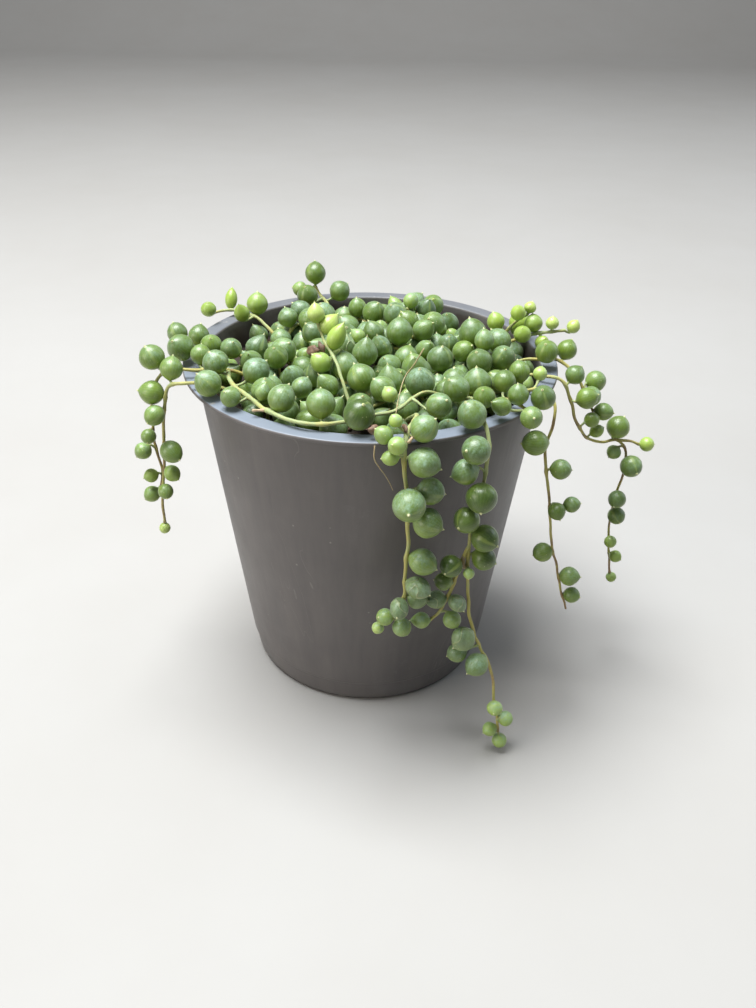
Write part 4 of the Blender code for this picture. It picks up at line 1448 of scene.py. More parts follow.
    def grow_drawn(self, strand: Strand, centres: Array, radii: Array,
                   finishes: "Finishes") -> list[bpy.types.Object]:
        """Grow a drawn strand.

        Args:
            strand: The strand.
            centres: Its pearls' settled centres (mm).
            radii: Its pearls' settled radii (mm).
            finishes: Materials.

        Returns:
            Its stems and its pearls.
        """
        rng = np.random.default_rng([self.seed, len(strand.name), len(strand.pearls)])
        stems, pearls = Surface(), Surface()
        tone = float(rng.random())
        routes = [np.array(route, dtype=float) for route in strand.stems]
        if routes[0][0, 2] < self.rooted_below_mm:
            root = routes[0][0] * [0.97, 0.97, 1.0]
            root[2] = self.pot.mix_height(np.hypot(root[0], root[1])) - 1.0
            routes[0] = np.vstack([root, routes[0]])
        lines = [smooth_path(route, self.step_mm) for route in routes]
        for k, line in enumerate(lines[1:], start=1):
            routes[k][0] = nearest_point(lines[0], line[0])
        feet = []
        for centre in centres:
            near = np.array([nearest_point(line, centre) for line in lines])
            feet.append(near[np.argmin(np.linalg.norm(near - centre, axis=1))])
        feet = np.array(feet)
        for route in routes:
            path, radius = self.stem_line(route, strand.girth_mm, feet)
            add_tube(stems, path, radius, self.stem_mood(path, strand.growth, tone), 10)
        for thread in strand.threads:
            path = smooth_path(np.array(thread), 0.7)
            radius = self.thread_mm * np.linspace(1.0, 0.5, len(path))
            add_tube(stems, path, radius, np.tile(self.thread_mood, (len(path), 1)), 6)
        for stub in strand.stubs:
            path = smooth_path(np.array(stub), 0.6)
            radius = self.stub_mm * (1.0 + 0.2 * ripple(path, 2.0, 70, 6))
            add_tube(stems, path, radius, np.tile(self.stub_mood, (len(path), 1)), 9)
        if strand.withered:
            self.add_withered(stems, np.array(strand.withered), rng)
        rise = self.young_rise if strand.growth is Growth.YOUNG else self.rise
        hang = np.where(centres[:, 2] < self.rooted_below_mm, -self.hang, 0.0)
        lift = np.where(centres[:, 2] > self.over_rim_mm, rise, 0.0)
        axis = unit(centres - feet)
        axis[:, 2] += hang + lift
        axis = unit(axis + rng.normal(scale=self.chance_lean, size=centres.shape))
        mood, shape = self.pearl_mood(strand, rng)
        spin = rng.uniform(0.0, 2.0 * math.pi, len(centres))
        radii = radii * strand.fullness
        self.pearl.add(pearls, centres, radii, axis, spin, shape, mood)
        self.add_stalks(stems, feet, centres, radii, axis, tone)
        return self.make_pair(strand.name, stems, pearls, finishes)

    def grow_mat(self, name: str, centres: Array, radii: Array,
                 finishes: "Finishes") -> list[bpy.types.Object]:
        """Grow a strand of the mat: its stem runs under its pearls, whose tips lean upward.

        Args:
            name: The strand's name.
            centres: Its pearls' centres (mm).
            radii: Its pearls' radii (mm).
            finishes: Materials.

        Returns:
            Its stem and its pearls.
        """
        rng = np.random.default_rng([self.seed, int(name[-2:])])
        stems, pearls = Surface(), Surface()
        count = len(centres)
        tone = float(rng.random())
        lean = rng.normal(scale=self.mat_lean, size=(count, 3))
        lean[:, 2] = 1.0
        axis = unit(lean)
        feet = centres - axis * (radii + 0.9)[:, None]
        mix = self.pot.mix_height(np.hypot(feet[:, 0], feet[:, 1]))
        feet[:, 2] = np.maximum(feet[:, 2], mix + 0.2)
        root = feet[0] + np.array([0.4, 0.4, 0.0])
        root[2] = mix[0] - 1.5
        path, radius = self.stem_line(np.vstack([root, feet]), self.mat_girth_mm, feet)
        floor = self.pot.mix_height(np.hypot(path[:, 0], path[:, 1])) - 1.0
        path[1:, 2] = np.maximum(path[1:, 2], floor[1:])
        add_tube(stems, path, radius, self.stem_mood(path, Growth.GREEN, tone), 7)
        last = np.arange(count) == count - 1
        youth = np.clip(0.06 + 0.12 * rng.random(count) + 0.3 * last, 0.0, 1.0)
        mood = np.stack([youth, rng.random(count), rng.uniform(0.25, 0.65, count),
                         1.0 * (rng.random(count) < 0.015)], axis=1)
        pointed = (rng.random(count) < 0.2) | (centres[:, 0] < -30.0)
        shape = np.stack([1.0 + 0.04 * rng.normal(size=count) + 0.06 * pointed,
                          0.05 + 0.15 * rng.random(count) + 0.25 * pointed,
                          0.06 * mood[:, 3]], axis=1)
        self.pearl.add(pearls, centres, radii, axis, rng.uniform(0.0, 6.28, count), shape, mood)
        self.add_stalks(stems, feet, centres, radii, axis, tone)
        return self.make_pair(name, stems, pearls, finishes)


Socket = bpy.types.NodeSocket
Value = Socket | float | tuple[float, ...]


class Web:
    """A node tree being wired, with short ways to add the nodes that the finishes use."""

    def __init__(self, tree: bpy.types.NodeTree) -> None:
        """Hold the tree."""
        self.tree = tree

    def feed(self, socket: Socket, value: Value) -> None:
        """Link a socket to another, or set its own value.

        Args:
            socket: The input.
            value: The socket or the value.
        """
        if isinstance(value, bpy.types.NodeSocket):
            self.tree.links.new(value, socket)
        else:
            socket.default_value = value

    def node(self, kind: str, inputs: dict[str | int, Value] | None = None,
             **settings: object) -> bpy.types.Node:
        """Add a node.

        Args:
            kind: Blender's name of the node type, without its ShaderNode prefix.
            inputs: Values or sockets for its inputs, by name or number.
            settings: Properties of the node.

        Returns:
            The node.
        """
        made = self.tree.nodes.new("ShaderNode" + kind)
        for key, value in settings.items():
            setattr(made, key, value)
        for key, value in (inputs or {}).items():
            self.feed(made.inputs[key], value)
        return made

    def math(self, operation: str, a: Value, b: Value = 0.0, c: Value = 0.0) -> Socket:
        """Result of a Math node."""
        return self.node("Math", {0: a, 1: b, 2: c}, operation=operation).outputs[0]

    def plus(self, a: Value, b: Value) -> Socket:
        """a plus b."""
        return self.math("ADD", a, b)

    def times(self, a: Value, b: Value, plus: Value | None = None) -> Socket:
        """Multiply two values and add a third.

        Args:
            a: First value.
            b: Second value.
            plus: What is added, if anything.

        Returns:
            The result.
        """
        if plus is None:
            return self.math("MULTIPLY", a, b)
        return self.math("MULTIPLY_ADD", a, b, plus)

    def step(self, value: Value, low: Value, high: Value) -> Socket:
        """Smooth step: 0 at low, 1 at high, and an S-curve between; low may be the larger."""
        inputs = {"Value": value, "From Min": low, "From Max": high}
        return self.node("MapRange", inputs, interpolation_type="SMOOTHSTEP").outputs["Result"]

    def blend(self, factor: Value, a: Value, b: Value) -> Socket:
        """Colour between a and b.

        Args:
            factor: 0 for a, 1 for b.
            a: First colour.
            b: Second colour.

        Returns:
            The colour.
        """
        made = self.node("Mix", data_type="RGBA")
        for socket, value in zip((made.inputs[0], made.inputs[6], made.inputs[7]), (factor, a, b)):
            self.feed(socket, (*value, 1.0) if isinstance(value, tuple) else value)
        return made.outputs[2]

    def noise(self, vector: Value, scale: Value, detail: float = 3.0,
              rough: float = 0.55) -> Socket:
        """Fractal noise, about 0 to 1, of so many finer layers and so rough."""
        inputs = {"Vector": vector, "Scale": scale, "Detail": detail, "Roughness": rough}
        return self.node("TexNoise", inputs).outputs["Fac"]

    def object_place(self) -> Socket:
        """Place on the piece, in metres."""
        return self.node("TexCoord").outputs["Object"]

    def stretched(self, vector: Value, scale: tuple[float, float, float]) -> Socket:
        """A vector scaled by a different amount on each axis."""
        return self.node("Mapping", {"Vector": vector, "Scale": scale}).outputs[0]

    def parts(self, name: str, colour: bool) -> tuple[Socket, ...]:
        """The parts of a point attribute: three of a vector, or three of a colour and its alpha.

        Args:
            name: The attribute.
            colour: Whether it is a colour.

        Returns:
            The three parts and the alpha.
        """
        source = self.node("Attribute", attribute_name=name)
        kind, port = ("SeparateColor", "Color") if colour else ("SeparateXYZ", "Vector")
        split = self.node(kind, {0: source.outputs[port]})
        return (*split.outputs[:3], source.outputs["Alpha"])

    def effect(self, group: bpy.types.NodeTree, vector: Value, **numbers: Value) -> Socket:
        """Place a shared effect, fed by a vector and its own numbers, and pick its result."""
        return self.node("Group", {"Vector": vector, **numbers}, node_tree=group).outputs[0]

    def upward(self, low: float, high: float) -> Socket:
        """How far the surface faces up: 0 where its normal's z is low, 1 where it is high."""
        normal = self.node("SeparateXYZ", {0: self.node("NewGeometry").outputs["Normal"]})
        return self.step(normal.outputs[2], low, high)

    def bump(self, height: Value, strength: float, distance: float) -> Socket:
        """Normal bumped by a height."""
        return self.node("Bump", {"Height": height, "Strength": strength,
                                  "Distance": distance}).outputs[0]


def new_group(name: str, inputs: tuple[str, ...], output: str) -> tuple[Web, Socket, Socket]:
    """Start a node group that turns a place and some numbers into one value.

    Args:
        name: Name of the group.
        inputs: Names of its number inputs, after Vector.
        output: Name of its output.

    Returns:
        The web inside it, the outputs of its input node, and the socket for its result.
    """
    tree = bpy.data.node_groups.new(name, "ShaderNodeTree")
    tree.interface.new_socket("Vector", in_out="INPUT", socket_type="NodeSocketVector")
    for label in inputs: tree.interface.new_socket(label, in_out="INPUT",
                                                   socket_type="NodeSocketFloat")
    tree.interface.new_socket(output, in_out="OUTPUT", socket_type="NodeSocketFloat")
    inside = tree.nodes.new("NodeGroupInput").outputs
    result = tree.nodes.new("NodeGroupOutput").inputs[0]
    return Web(tree), inside, result


def mottle_group() -> bpy.types.NodeTree:
    """Soft blotches: two sizes of noise, mixed and pulled apart by Contrast.

    Returns:
        The group.
    """
    web, inside, result = new_group("mottle", ("Scale", "Contrast"), "Mottle")
    broad = web.noise(inside["Vector"], inside["Scale"], 2.0)
    fine = web.noise(inside["Vector"], web.times(inside["Scale"], 4.3), 3.0, 0.6)
    both = web.plus(web.times(broad, 0.65), web.times(fine, 0.35))
    spread = web.times(web.math("SUBTRACT", both, 0.5), inside["Contrast"], 0.5)
    web.feed(result, web.node("Clamp", {0: spread}).outputs[0])
    return web.tree


def speck_group() -> bpy.types.NodeTree:
    """Small round specks: near the middle of some cells, kept where Share allows.

    Returns:
        The group.
    """
    web, inside, result = new_group("specks", ("Scale", "Size", "Share"), "Specks")
    cells = web.node("TexVoronoi", {"Vector": inside["Vector"], "Scale": inside["Scale"]})
    close = web.step(cells.outputs["Distance"], inside["Size"], 0.0)
    chance = web.node("SeparateColor", {0: cells.outputs["Color"]}).outputs[0]
    kept = web.math("LESS_THAN", chance, inside["Share"])
    web.feed(result, web.times(close, kept))
    return web.tree


def scratch_group() -> bpy.types.NodeTree:
    """Fine scratches: the thin crest of stretched noise, kept in patches.

    Returns:
        The group.
    """
    web, inside, result = new_group("scratches", ("Scale", "Width"), "Scratches")
    noise = web.noise(inside["Vector"], inside["Scale"], 2.0)
    crest = web.math("ABSOLUTE", web.math("SUBTRACT", noise, 0.5))
    line = web.step(crest, inside["Width"], 0.0)
    broad = web.noise(inside["Vector"], web.times(inside["Scale"], 0.37), 1.0)
    web.feed(result, web.times(line, web.step(broad, 0.6, 0.68)))
    return web.tree


@dataclass(frozen=True)
class Effects:
    """Node groups that the finishes share."""

    mottle: bpy.types.NodeTree
    specks: bpy.types.NodeTree
    scratches: bpy.types.NodeTree


def new_finish(name: str, **constants: Value) -> tuple[bpy.types.Material, Web, bpy.types.Node]:
    """Start a material.

    Args:
        name: Name of the material.
        constants: Values that hold all over the surface, by socket name with _ for a space.

    Returns:
        The material, the web of its nodes and its Principled shader.
    """
    material = bpy.data.materials.new(name)
    material.use_nodes = True
    shader = material.node_tree.nodes["Principled BSDF"]
    for key, value in constants.items():
        shader.inputs[key.replace("_", " ")].default_value = value
    return material, Web(material.node_tree), shader


@dataclass(frozen=True)
class LeafFinish:
    """Skin of a pearl: green flesh with a clear streak, fine veins, wax and pale specks, with a
    painted sky highlight on its upper side and a painted glow of light through its underside.

    Each scale counts a pattern's lumps to the metre, streak holds the cosines of its angle from
    the streak's middle where the streak begins and is full, and relief_m is the bumps' height.
    """

    deep: Colour = (0.017, 0.044, 0.002)
    mature: Colour = (0.120, 0.198, 0.006)
    young: Colour = (0.32, 0.45, 0.06)
    yellow: Colour = (0.46, 0.56, 0.15)
    window: Colour = (0.27, 0.34, 0.07)
    # Colour of the wax bloom, which on up-facing surfaces also serves as a painted reflection of the sky.
    wax: Colour = (0.27, 0.405, 0.29)
    tip: Colour = (0.62, 0.60, 0.32)
    dry: Colour = (0.27, 0.34, 0.19)
    veins: float = 26.0
    wax_most: float = 0.8
    streak: tuple[float, float] = (0.978, 0.998)
    crease: float = 0.03
    crease_scale: float = 210.0
    mottle_scale: float = 420.0
    bloom_scale: float = 260.0
    frost_scale: float = 1500.0
    speck_scale: float = 1100.0
    relief_m: float = 0.0004

    def make(self, effects: Effects) -> bpy.types.Material:
        """Build the material.

        The own attribute is a point's place on the pearl's unit globe, z from stalk to tip, and
        the mood attribute holds youth, tone, wax and dryness.

        Args:
            effects: Shared node groups.

        Returns:
            The material.
        """
        material, web, shader = new_finish(
            "pearl_leaf", Subsurface_Weight=0.14, Subsurface_Scale=0.0016, IOR=1.45,
            Subsurface_Radius=(0.8, 1.0, 0.25), Sheen_Weight=0.08, Sheen_Roughness=0.45,
            Coat_Weight=0.4, Coat_Roughness=0.3)
        place = web.object_place()
        x, y, z, _ = web.parts("own", colour=False)
        youth, tone, wax, dry = web.parts("mood", colour=True)
        mottle = web.effect(effects.mottle, place, Scale=self.mottle_scale, Contrast=2.2)
        around = web.math("ARCTAN2", y, x)
        ring = web.math("SQRT", web.times(x, x, web.times(y, y)))
        cosine = web.math("DIVIDE", x, web.math("MAXIMUM", ring, 0.001))
        drift = web.times(web.math("SUBTRACT", web.noise(place, 500.0, 1.0), 0.5), 0.03)
        streak = web.step(web.plus(cosine, drift), *self.streak)
        reach = web.times(web.step(z, -0.7, 0.1), web.step(ring, 0.05, 0.3))
        window = web.times(streak, reach)
        wobble = web.noise(place, 300.0, 2.0)
        wave = web.math("SINE", web.times(wobble, 5.0, web.times(around, self.veins)))
        vein = web.times(web.step(wave, 0.3, 1.0), web.step(ring, 0.15, 0.6))
        depth = web.times(tone, 0.7, web.times(mottle, 0.4))
        flesh = web.blend(depth, self.deep, self.mature)
        flesh = web.blend(web.step(youth, 0.02, 0.75), flesh, self.young)
        flesh = web.blend(web.step(youth, 0.6, 1.15), flesh, self.yellow)
        # Painted glow of light through the pearl: its lower half and down-facing side are lightened towards the young
        # yellow-green.
        painted_underside_glow = web.times(web.step(z, 0.5, -0.9), 0.25, web.times(web.upward(0.2, -0.8), 0.3))
        flesh = web.blend(painted_underside_glow, flesh, self.young)
        lined = web.times(web.step(tone, 0.45, 0.9), 0.2, 0.07)
        flesh = web.blend(web.times(vein, lined), flesh, self.window)
        flesh = web.blend(web.times(window, 0.5), flesh, self.window)
        bloom = web.effect(effects.mottle, place, Scale=self.bloom_scale, Contrast=3.0)
        # Painted sky highlight: the wax is laid mostly on up-facing surfaces, so the upper side is paler and bluer;
        # the wax bloom itself is real.
        above = web.times(web.upward(-0.5, 0.9), 0.85, 0.15)
        frost = web.noise(web.stretched(place, (1.0, 1.0, 0.5)), self.frost_scale, 4.0, 0.75)
        patchy = web.times(web.times(bloom, 0.8, 0.2), web.times(frost, 4.6, -1.3))
        wax_and_top_highlight = web.times(web.times(wax, above), patchy)
        wax_and_top_highlight = web.math("MINIMUM", wax_and_top_highlight, self.wax_most)
        flesh = web.blend(wax_and_top_highlight, flesh, self.wax)
        flesh = web.blend(web.times(dry, 0.3), flesh, self.dry)
        creased = web.noise(web.stretched(place, (1.0, 1.0, 0.7)), self.crease_scale, 1.0, 0.4)
        off_crest = web.math("ABSOLUTE", web.math("SUBTRACT", creased, 0.5))
        crest = web.step(off_crest, self.crease, 0.0)
        crinkle = web.times(dry, crest)
        flesh = web.blend(web.times(crinkle, 0.26), flesh, self.tip)
        ends = web.step(web.math("ABSOLUTE", z), 0.99, 0.999)
        flesh = web.blend(web.times(ends, 0.75), flesh, self.tip)
        dots = web.effect(effects.specks, place, Scale=self.speck_scale, Size=0.24, Share=0.14)
        flesh = web.blend(web.times(dots, 0.7), flesh, self.tip)
        web.feed(shader.inputs["Base Color"], flesh)
        web.feed(shader.inputs["Roughness"],
                 web.plus(web.times(wax_and_top_highlight, 0.3, 0.3), web.times(mottle, 0.1)))
        wrinkle = web.noise(web.stretched(place, (1.0, 1.0, 0.4)), 700.0, 3.0, 0.6)
        grain = web.noise(place, 2600.0, 2.0)
        folds = web.times(dry, web.times(creased, 12.0, wrinkle))
        lines = web.times(vein, -0.08, crinkle)
        height = web.plus(web.times(grain, 0.2), web.plus(folds, lines))
        web.feed(shader.inputs["Normal"], web.bump(height, 0.6, self.relief_m))
        return material


@dataclass(frozen=True)
class StemFinish:
    """Skin of the stems: pale green when young, olive and then brown with age, streaked along."""

    pale: Colour = (0.32, 0.385, 0.175)
    olive: Colour = (0.43, 0.38, 0.10)
    brown: Colour = (0.27, 0.15, 0.08)
    dry: Colour = (0.50, 0.34, 0.22)
    dead: Colour = (0.080, 0.040, 0.022)
    blotch_scale: float = 240.0
    rot_scale: float = 900.0
    relief_m: float = 0.0002

    def make(self, effects: Effects) -> bpy.types.Material:
        """Build the material; the mood attribute holds age, tone, dryness and how far it is dead.

        Args:
            effects: Shared node groups.

        Returns:
            The material.
        """
        material, web, shader = new_finish("stem_skin", Subsurface_Weight=0.08,
                                           Subsurface_Scale=0.0008)
        place = web.object_place()
        x, y, along, _ = web.parts("own", colour=False)
        age, tone, dry, dead = web.parts("mood", colour=True)
        slow = web.times(along, 0.16)
        strip = web.node("CombineXYZ", {0: x, 1: y, 2: slow}).outputs[0]
        streak = web.effect(effects.mottle, strip, Scale=1.9, Contrast=2.4)
        blotch = web.effect(effects.mottle, place, Scale=self.blotch_scale, Contrast=2.4)
        grown = web.plus(age, web.times(web.math("SUBTRACT", blotch, 0.5), 0.5))
        skin = web.blend(web.step(grown, 0.1, 0.65), self.pale, self.olive)
        skin = web.blend(web.step(grown, 0.7, 1.0), skin, self.brown)
        skin = web.blend(dry, skin, self.dry)
        skin = web.blend(web.times(streak, 0.4), skin, web.blend(tone, self.pale, self.olive))
        rot = web.effect(effects.mottle, place, Scale=self.rot_scale, Contrast=3.0)
        rotten = web.blend(web.times(rot, 0.35), self.dead, self.dry)
        skin = web.blend(dead, skin, rotten)
        web.feed(shader.inputs["Base Color"], skin)
        web.feed(shader.inputs["Roughness"], web.times(streak, 0.25, 0.42))
        height = web.plus(streak, web.times(web.noise(place, 1800.0), 0.6))
        web.feed(shader.inputs["Normal"], web.bump(height, 0.5, self.relief_m))
        return material


@dataclass(frozen=True)
class PlasticFinish:
    """Moulded taupe plastic with flow streaks, rubbed patches, scratches, dust and specks, with a
    painted sky reflection on the rim's top and painted shade on the inner wall.

    wall_middle_m is the radius of the middle of the wall's thickness at the foot, wall_slope is
    what that grows by with height, and rim_z_m and inner_z_m are the heights between which the
    rim's painted reflection and the inner wall's painted shade come in.
    """

    taupe: Colour = (0.132, 0.119, 0.112)
    dark: Colour = (0.082, 0.076, 0.076)
    rubbed: Colour = (0.20, 0.19, 0.19)
    # Pale bluish grey painted on the rim's top as a reflection of the sky.
    rim: Colour = (0.195, 0.232, 0.285)
    dust: Colour = (0.34, 0.32, 0.30)
    # Near-black brown, painted in patches on the inner wall as shade.
    soil: Colour = (0.05, 0.036, 0.026)
    wall_slope: float = 0.1214
    wall_middle_m: float = 0.0381
    rim_z_m: tuple[float, float] = (0.098, 0.102)
    inner_z_m: tuple[float, float] = (0.1018, 0.1005)
    flow_scale: float = 130.0
    cloud_scale: float = 34.0
    scratch_scale: float = 48.0
    speck_scale: float = 190.0
    relief_m: float = 0.0002

    def make(self, effects: Effects) -> bpy.types.Material:
        """Build the material on the pot's own coordinates.

        Args:
            effects: Shared node groups.

        Returns:
            The material.
        """
        material, web, shader = new_finish("taupe_pot_plastic", IOR=1.48)
        place = web.object_place()
        tall = web.stretched(place, (1.0, 1.0, 0.06))
        x, y, z = web.node("SeparateXYZ", {0: place}).outputs
        flow = web.effect(effects.mottle, tall, Scale=self.flow_scale, Contrast=3.0)
        cloud = web.effect(effects.mottle, place, Scale=self.cloud_scale, Contrast=2.6)
        skin = web.blend(web.times(flow, 0.5, web.times(cloud, 0.3)), self.taupe, self.dark)
        scuff = web.times(web.step(web.noise(place, 60.0, 6.0, 0.7), 0.58, 0.75),
                          web.step(web.noise(place, 22.0, 1.0), 0.45, 0.62))
        skin = web.blend(web.times(scuff, 0.55), skin, self.rubbed)
        turned = web.node("Mapping", {"Vector": place, "Rotation": (0.3, 0.9, 0.4),
                                      "Scale": (1.0, 6.0, 0.5)}).outputs[0]
        lines = web.effect(effects.scratches, turned, Scale=self.scratch_scale, Width=0.004)
        skin = web.blend(web.times(lines, 0.3), skin, self.dust)
        specks = web.effect(effects.specks, place, Scale=self.speck_scale, Size=0.09, Share=0.16)
        skin = web.blend(web.times(specks, 0.6), skin, self.dust)
        # Painted sky reflection: the rim's flat top is blended towards a pale bluish grey in patches, more at the
        # front than at the back.
        flat = web.upward(0.6, 0.95)
        top = web.times(flat, web.step(z, *self.rim_z_m))
        front_reflection_share = web.times(web.step(y, 0.05, -0.05), 0.5, 0.3)
        sheen = web.times(web.noise(place, 26.0, 2.0), 0.8, 0.6)
        sheen = web.times(sheen, front_reflection_share)
        skin = web.blend(web.times(top, sheen), skin, self.rim)
        radius = web.math("SQRT", web.times(x, x, web.times(y, y)))
        nick = web.times(web.step(web.noise(place, 150.0, 3.0, 0.7), 0.66, 0.72), top)
        skin = web.blend(web.times(nick, 0.7), skin, self.dust)
        # Painted shade: the inner wall above the mix is darkened in patches towards the near-black soil colour.
        wall = web.times(z, self.wall_slope, self.wall_middle_m)
        inside = web.times(web.step(web.math("SUBTRACT", wall, radius), 0.0001, 0.0004),
                           web.step(z, *self.inner_z_m))
        painted_inner_shade = web.times(inside, web.step(web.noise(place, 90.0, 4.0), 0.35, 0.6))
        skin = web.blend(web.times(painted_inner_shade, 0.8), skin, self.soil)
        foot = web.times(web.step(z, 0.012, 0.0), web.step(cloud, 0.4, 0.8))
        skin = web.blend(web.times(foot, 0.3), skin, self.rubbed)
        web.feed(shader.inputs["Base Color"], skin)
        gloss = web.times(cloud, 0.12, 0.40)
        gloss = web.plus(gloss, web.times(scuff, 0.15))
        gloss = web.plus(gloss, web.times(lines, 0.15))
        web.feed(shader.inputs["Roughness"], gloss)
        height = web.plus(web.times(web.noise(place, 1500.0, 2.0), 0.25),
                          web.math("SUBTRACT", web.times(flow, 0.35), web.times(lines, 0.6)))
        web.feed(shader.inputs["Normal"], web.bump(height, 0.35, self.relief_m))
        return material


@dataclass(frozen=True)
class SoilFinish:
    """Dark, moist potting mix, its crumbs from near black to brown, with pale grit."""

    black: Colour = (0.012, 0.008, 0.006)
    umber: Colour = (0.055, 0.032, 0.018)
    fibre: Colour = (0.17, 0.095, 0.05)
    grit: Colour = (0.50, 0.46, 0.38)
    clod_scale: float = 380.0
    fibre_scale: float = 900.0
    relief_m: float = 0.0005

    def make(self, effects: Effects) -> bpy.types.Material:
        """Build the material; the mood attribute holds how pale a crumb is, and its tone.

        Args:
            effects: Shared node groups.

        Returns:
            The material.
        """
        material, web, shader = new_finish("dark_potting_mix")
        place = web.object_place()
        pale, tone, _, _ = web.parts("mood", colour=True)
        clod = web.effect(effects.mottle, place, Scale=self.clod_scale, Contrast=2.8)
        brownness = web.times(clod, web.plus(tone, 0.3))
        earth = web.blend(brownness, self.black, self.umber)
        specks = web.effect(effects.specks, place, Scale=self.fibre_scale, Size=0.3, Share=0.12)
        earth = web.blend(web.times(specks, 0.6), earth, self.fibre)
        earth = web.blend(web.step(pale, 0.2, 0.7), earth, self.fibre)
        earth = web.blend(web.step(pale, 0.85, 0.95), earth, self.grit)
        web.feed(shader.inputs["Base Color"], earth)
        web.feed(shader.inputs["Roughness"], web.times(clod, 0.25, 0.68))
        height = web.plus(clod, web.noise(place, 1600.0, 4.0, 0.7))
        web.feed(shader.inputs["Normal"], web.bump(height, 0.9, self.relief_m))
        return material


@dataclass(frozen=True)
class FloorFinish:
    """Plain pale floor with a breath of unevenness."""

    pale: Colour = (0.38, 0.37, 0.355)
    warm: Colour = (0.35, 0.335, 0.315)

    def make(self, effects: Effects) -> bpy.types.Material:
        """Build the material.

        Args:
            effects: Shared node groups.

        Returns:
            The material.
        """
        material, web, shader = new_finish("pale_floor", Roughness=0.75)
        cloud = web.effect(effects.mottle, web.object_place(), Scale=6.0, Contrast=1.5)
        web.feed(shader.inputs["Base Color"], web.blend(cloud, self.pale, self.warm))
        return material


class Finishes:
    """Every material of the scene, made once."""

    def __init__(self) -> None:
        """Build the shared effects, then the materials."""
        effects = Effects(mottle_group(), speck_group(), scratch_group())
        self.leaf = LeafFinish().make(effects)
        self.stem = StemFinish().make(effects)
        self.plastic = PlasticFinish().make(effects)
        self.soil = SoilFinish().make(effects)
        self.floor = FloorFinish().make(effects)


@dataclass(frozen=True)
class Lamp:
    """A square soft light: where it hangs, what it points at, its side, watts and colour."""

    name: str
    place_m: Point
    aim_m: Point
    side_m: float
    power_w: float
    colour: Colour


LAMPS = (
    Lamp("overhead", (-0.25, 0.05, 1.2), (0.0, 0.0, 0.08), 0.7, 33.0, (0.95, 0.98, 1.0)),
    Lamp("front_left", (-1.3, -0.7, 0.55), (0.0, 0.0, 0.06), 0.8, 10.5, (1.0, 0.94, 0.86)),
    Lamp("back_right", (1.1, 0.5, 0.6), (0.0, 0.0, 0.07), 0.8, 4.0, (0.80, 0.89, 1.0)),
    Lamp("backdrop", (0.0, 0.9, 2.4), (0.0, 2.3, 0.4), 2.0, 15.0, (1.0, 1.0, 1.0)),
)


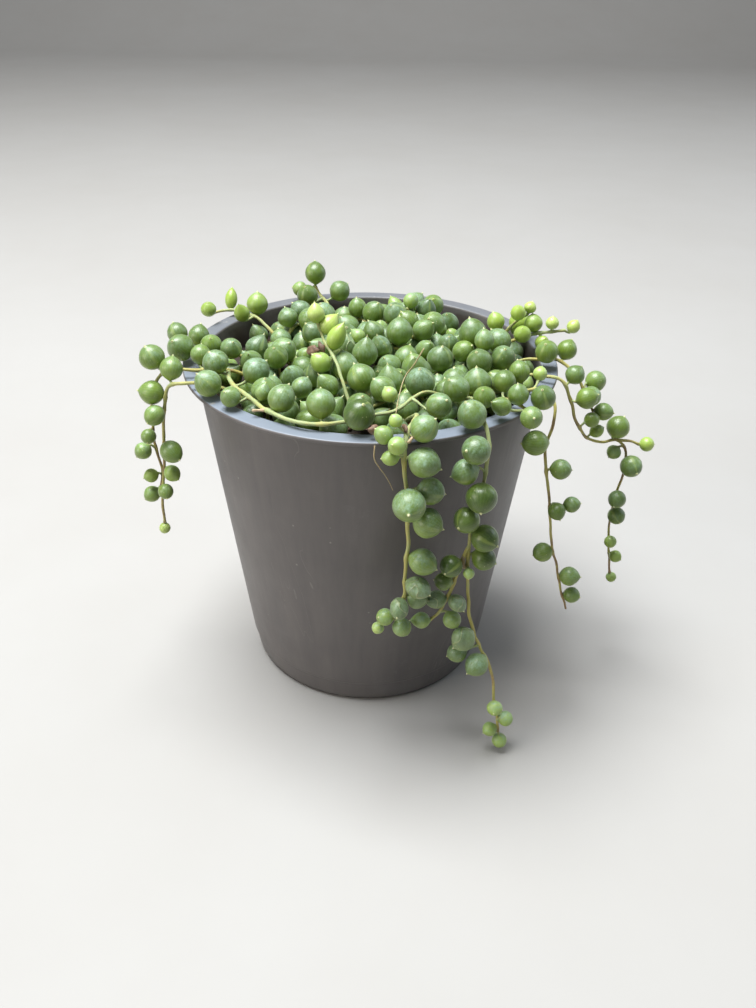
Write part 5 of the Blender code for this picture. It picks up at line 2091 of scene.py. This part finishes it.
@dataclass
class Studio:
    """Pale sweep, soft lights and the camera."""

    eye_m: Point = (0.0, -0.2546, 0.2113)
    yaw_deg: float = 0.68
    pitch_deg: float = 32.25
    roll_deg: float = 1.11
    lens_mm: float = 32.857
    sweep_half_width_m: float = 3.0
    sweep_front_m: float = -2.0
    sweep_back_m: float = 1.6
    sweep_bend_m: float = 0.7
    sweep_top_m: float = 3.0
    film_mm: float = 36.0
    sky: Colour = (0.86, 0.92, 1.0)
    sky_strength: float = 0.22

    def sweep(self, material: bpy.types.Material) -> bpy.types.Object:
        """Make the floor that bends up into a backdrop.

        The section is a level run, a quarter of a circle and an upright run, carried straight
        across from side to side.

        Args:
            material: The floor's finish.

        Returns:
            The sweep.
        """
        turn = np.linspace(0.0, 0.5 * math.pi, 24)
        bend = np.stack([self.sweep_back_m + self.sweep_bend_m * np.sin(turn),
                         self.sweep_bend_m * (1.0 - np.cos(turn))], axis=1)
        top = [self.sweep_back_m + self.sweep_bend_m, self.sweep_top_m]
        section = np.vstack([[self.sweep_front_m, 0.0], bend, top])
        across = np.array([-1.0, 1.0]) * self.sweep_half_width_m
        grid = np.stack([np.broadcast_to(across, (len(section), 2)),
                         np.broadcast_to(section[:, :1], (len(section), 2)),
                         np.broadcast_to(section[:, 1:], (len(section), 2))], axis=-1)
        row = np.arange(len(section) - 1)[:, None] * 2
        faces = row + np.array([[0, 1, 3, 2]])
        floor = Surface()
        floor.add(grid.reshape(-1, 3) / MM, [faces], np.zeros(4), np.zeros(3))
        return floor.make("pale_sweep", material)

    @staticmethod
    def light(lamp: Lamp) -> bpy.types.Object:
        """Hang a lamp.

        Args:
            lamp: The lamp.

        Returns:
            The light.
        """
        data = bpy.data.lights.new(lamp.name, "AREA")
        data.shape = "SQUARE"
        data.size = lamp.side_m
        data.energy = lamp.power_w
        data.color = lamp.colour
        light = bpy.data.objects.new(lamp.name, data)
        light.location = lamp.place_m
        way = Vector(lamp.aim_m) - Vector(lamp.place_m)
        light.rotation_euler = way.to_track_quat("-Z", "Y").to_euler()
        bpy.context.scene.collection.objects.link(light)
        return light

    def camera(self) -> bpy.types.Object:
        """Set up the camera: yaw about Z, pitch down, then roll about its line of sight.

        Returns:
            The camera.
        """
        yaw, pitch, roll = (math.radians(a) for a in (self.yaw_deg, self.pitch_deg, self.roll_deg))
        ahead = Vector((math.sin(yaw) * math.cos(pitch), math.cos(yaw) * math.cos(pitch),
                        -math.sin(pitch)))
        right = Vector((math.cos(yaw), -math.sin(yaw), 0.0))
        over = right.cross(ahead)
        right, over = (right * math.cos(roll) + over * math.sin(roll),
                       over * math.cos(roll) - right * math.sin(roll))
        data = bpy.data.cameras.new("eye")
        data.lens = self.lens_mm
        data.sensor_width = self.film_mm
        data.clip_start = 0.01
        eye = bpy.data.objects.new("eye", data)
        turn = Matrix((right, over, -ahead)).transposed().to_4x4()
        eye.matrix_world = Matrix.Translation(self.eye_m) @ turn
        bpy.context.scene.collection.objects.link(eye)
        bpy.context.scene.camera = eye
        return eye

    def build(self, finishes: Finishes) -> None:
        """Put up the sweep, the sky, the lights and the camera.

        Args:
            finishes: Materials.
        """
        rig.stage(self.sweep(finishes.floor))
        for lamp in LAMPS:
            self.light(lamp)
        world = bpy.data.worlds.new("soft_sky")
        world.use_nodes = True
        background = world.node_tree.nodes["Background"]
        background.inputs["Color"].default_value = (*self.sky, 1.0)
        background.inputs["Strength"].default_value = self.sky_strength
        bpy.context.scene.world = world
        bpy.context.scene.view_settings.view_transform = "Standard"
        self.camera()


class PottedPearls:
    """The whole plant in its pot, piece by piece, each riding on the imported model."""

    def __init__(self, finishes: Finishes) -> None:
        """Hold the finishes and the pot's sizes."""
        self.finishes, self.form = finishes, PotForm()
        self.strand_builder = StrandBuilder(self.form)

    @staticmethod
    def place(pieces: list[bpy.types.Object], node: str, slot: Slot) -> None:
        """Let pieces stand for a CAD node, and report them.

        Args:
            pieces: The pieces.
            node: The node's name.
            slot: The pieces' material slot.
        """
        for piece in pieces:
            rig.replaces(piece, node)
            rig.ride(piece, "root")
            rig.slot(piece, slot.value)
            LOG.info("%s stands for %s, %d faces", piece.name, node, len(piece.data.polygons))

    def build_pot(self) -> None:
        """Make the pot and the potting mix."""
        pot = PotBuilder(self.form).build(self.finishes.plastic)
        self.place([pot], "pot", Slot.POT)
        mix = MixBuilder(self.form)
        pieces = [mix.plug(self.finishes.soil), mix.loose(self.finishes.soil)]
        self.place(pieces, "potting_mix", Slot.MIX)

    def build_plant(self) -> None:
        """Let the pearls settle, then grow every strand."""
        packing = PearlPacking(self.form, STRANDS)
        centres, radii, owner = packing.settle()
        for k, strand in enumerate(STRANDS):
            own = owner == k
            pieces = self.strand_builder.grow_drawn(strand, centres[own], radii[own], self.finishes)
            self.place(pieces, strand.name, Slot.TRAILING)
        for k in range(packing.mat_strands):
            own = owner == k + len(STRANDS)
            name = f"mat_strand_{k + 1:02d}"
            pieces = self.strand_builder.grow_mat(name, centres[own], radii[own], self.finishes)
            self.place(pieces, name, Slot.MAT)


def write_sizes() -> None:
    """Write the CAD model's box and the visual model's box."""
    boxes = {"cad": CAD_BOUNDS, "visual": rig.bounds()}
    plain = {key: [list(corner) for corner in box] for key, box in boxes.items()}
    with open(SIZE_FILE, "w", encoding="utf-8") as file:
        json.dump(plain, file)


def main() -> None:
    """Build the studio, the pot and the plant."""
    logging.basicConfig(level=logging.INFO, format="%(message)s")
    finishes = Finishes()
    Studio().build(finishes)
    plant = PottedPearls(finishes)
    plant.build_pot()
    plant.build_plant()
    write_sizes()


if __name__ == "__main__":
    main()
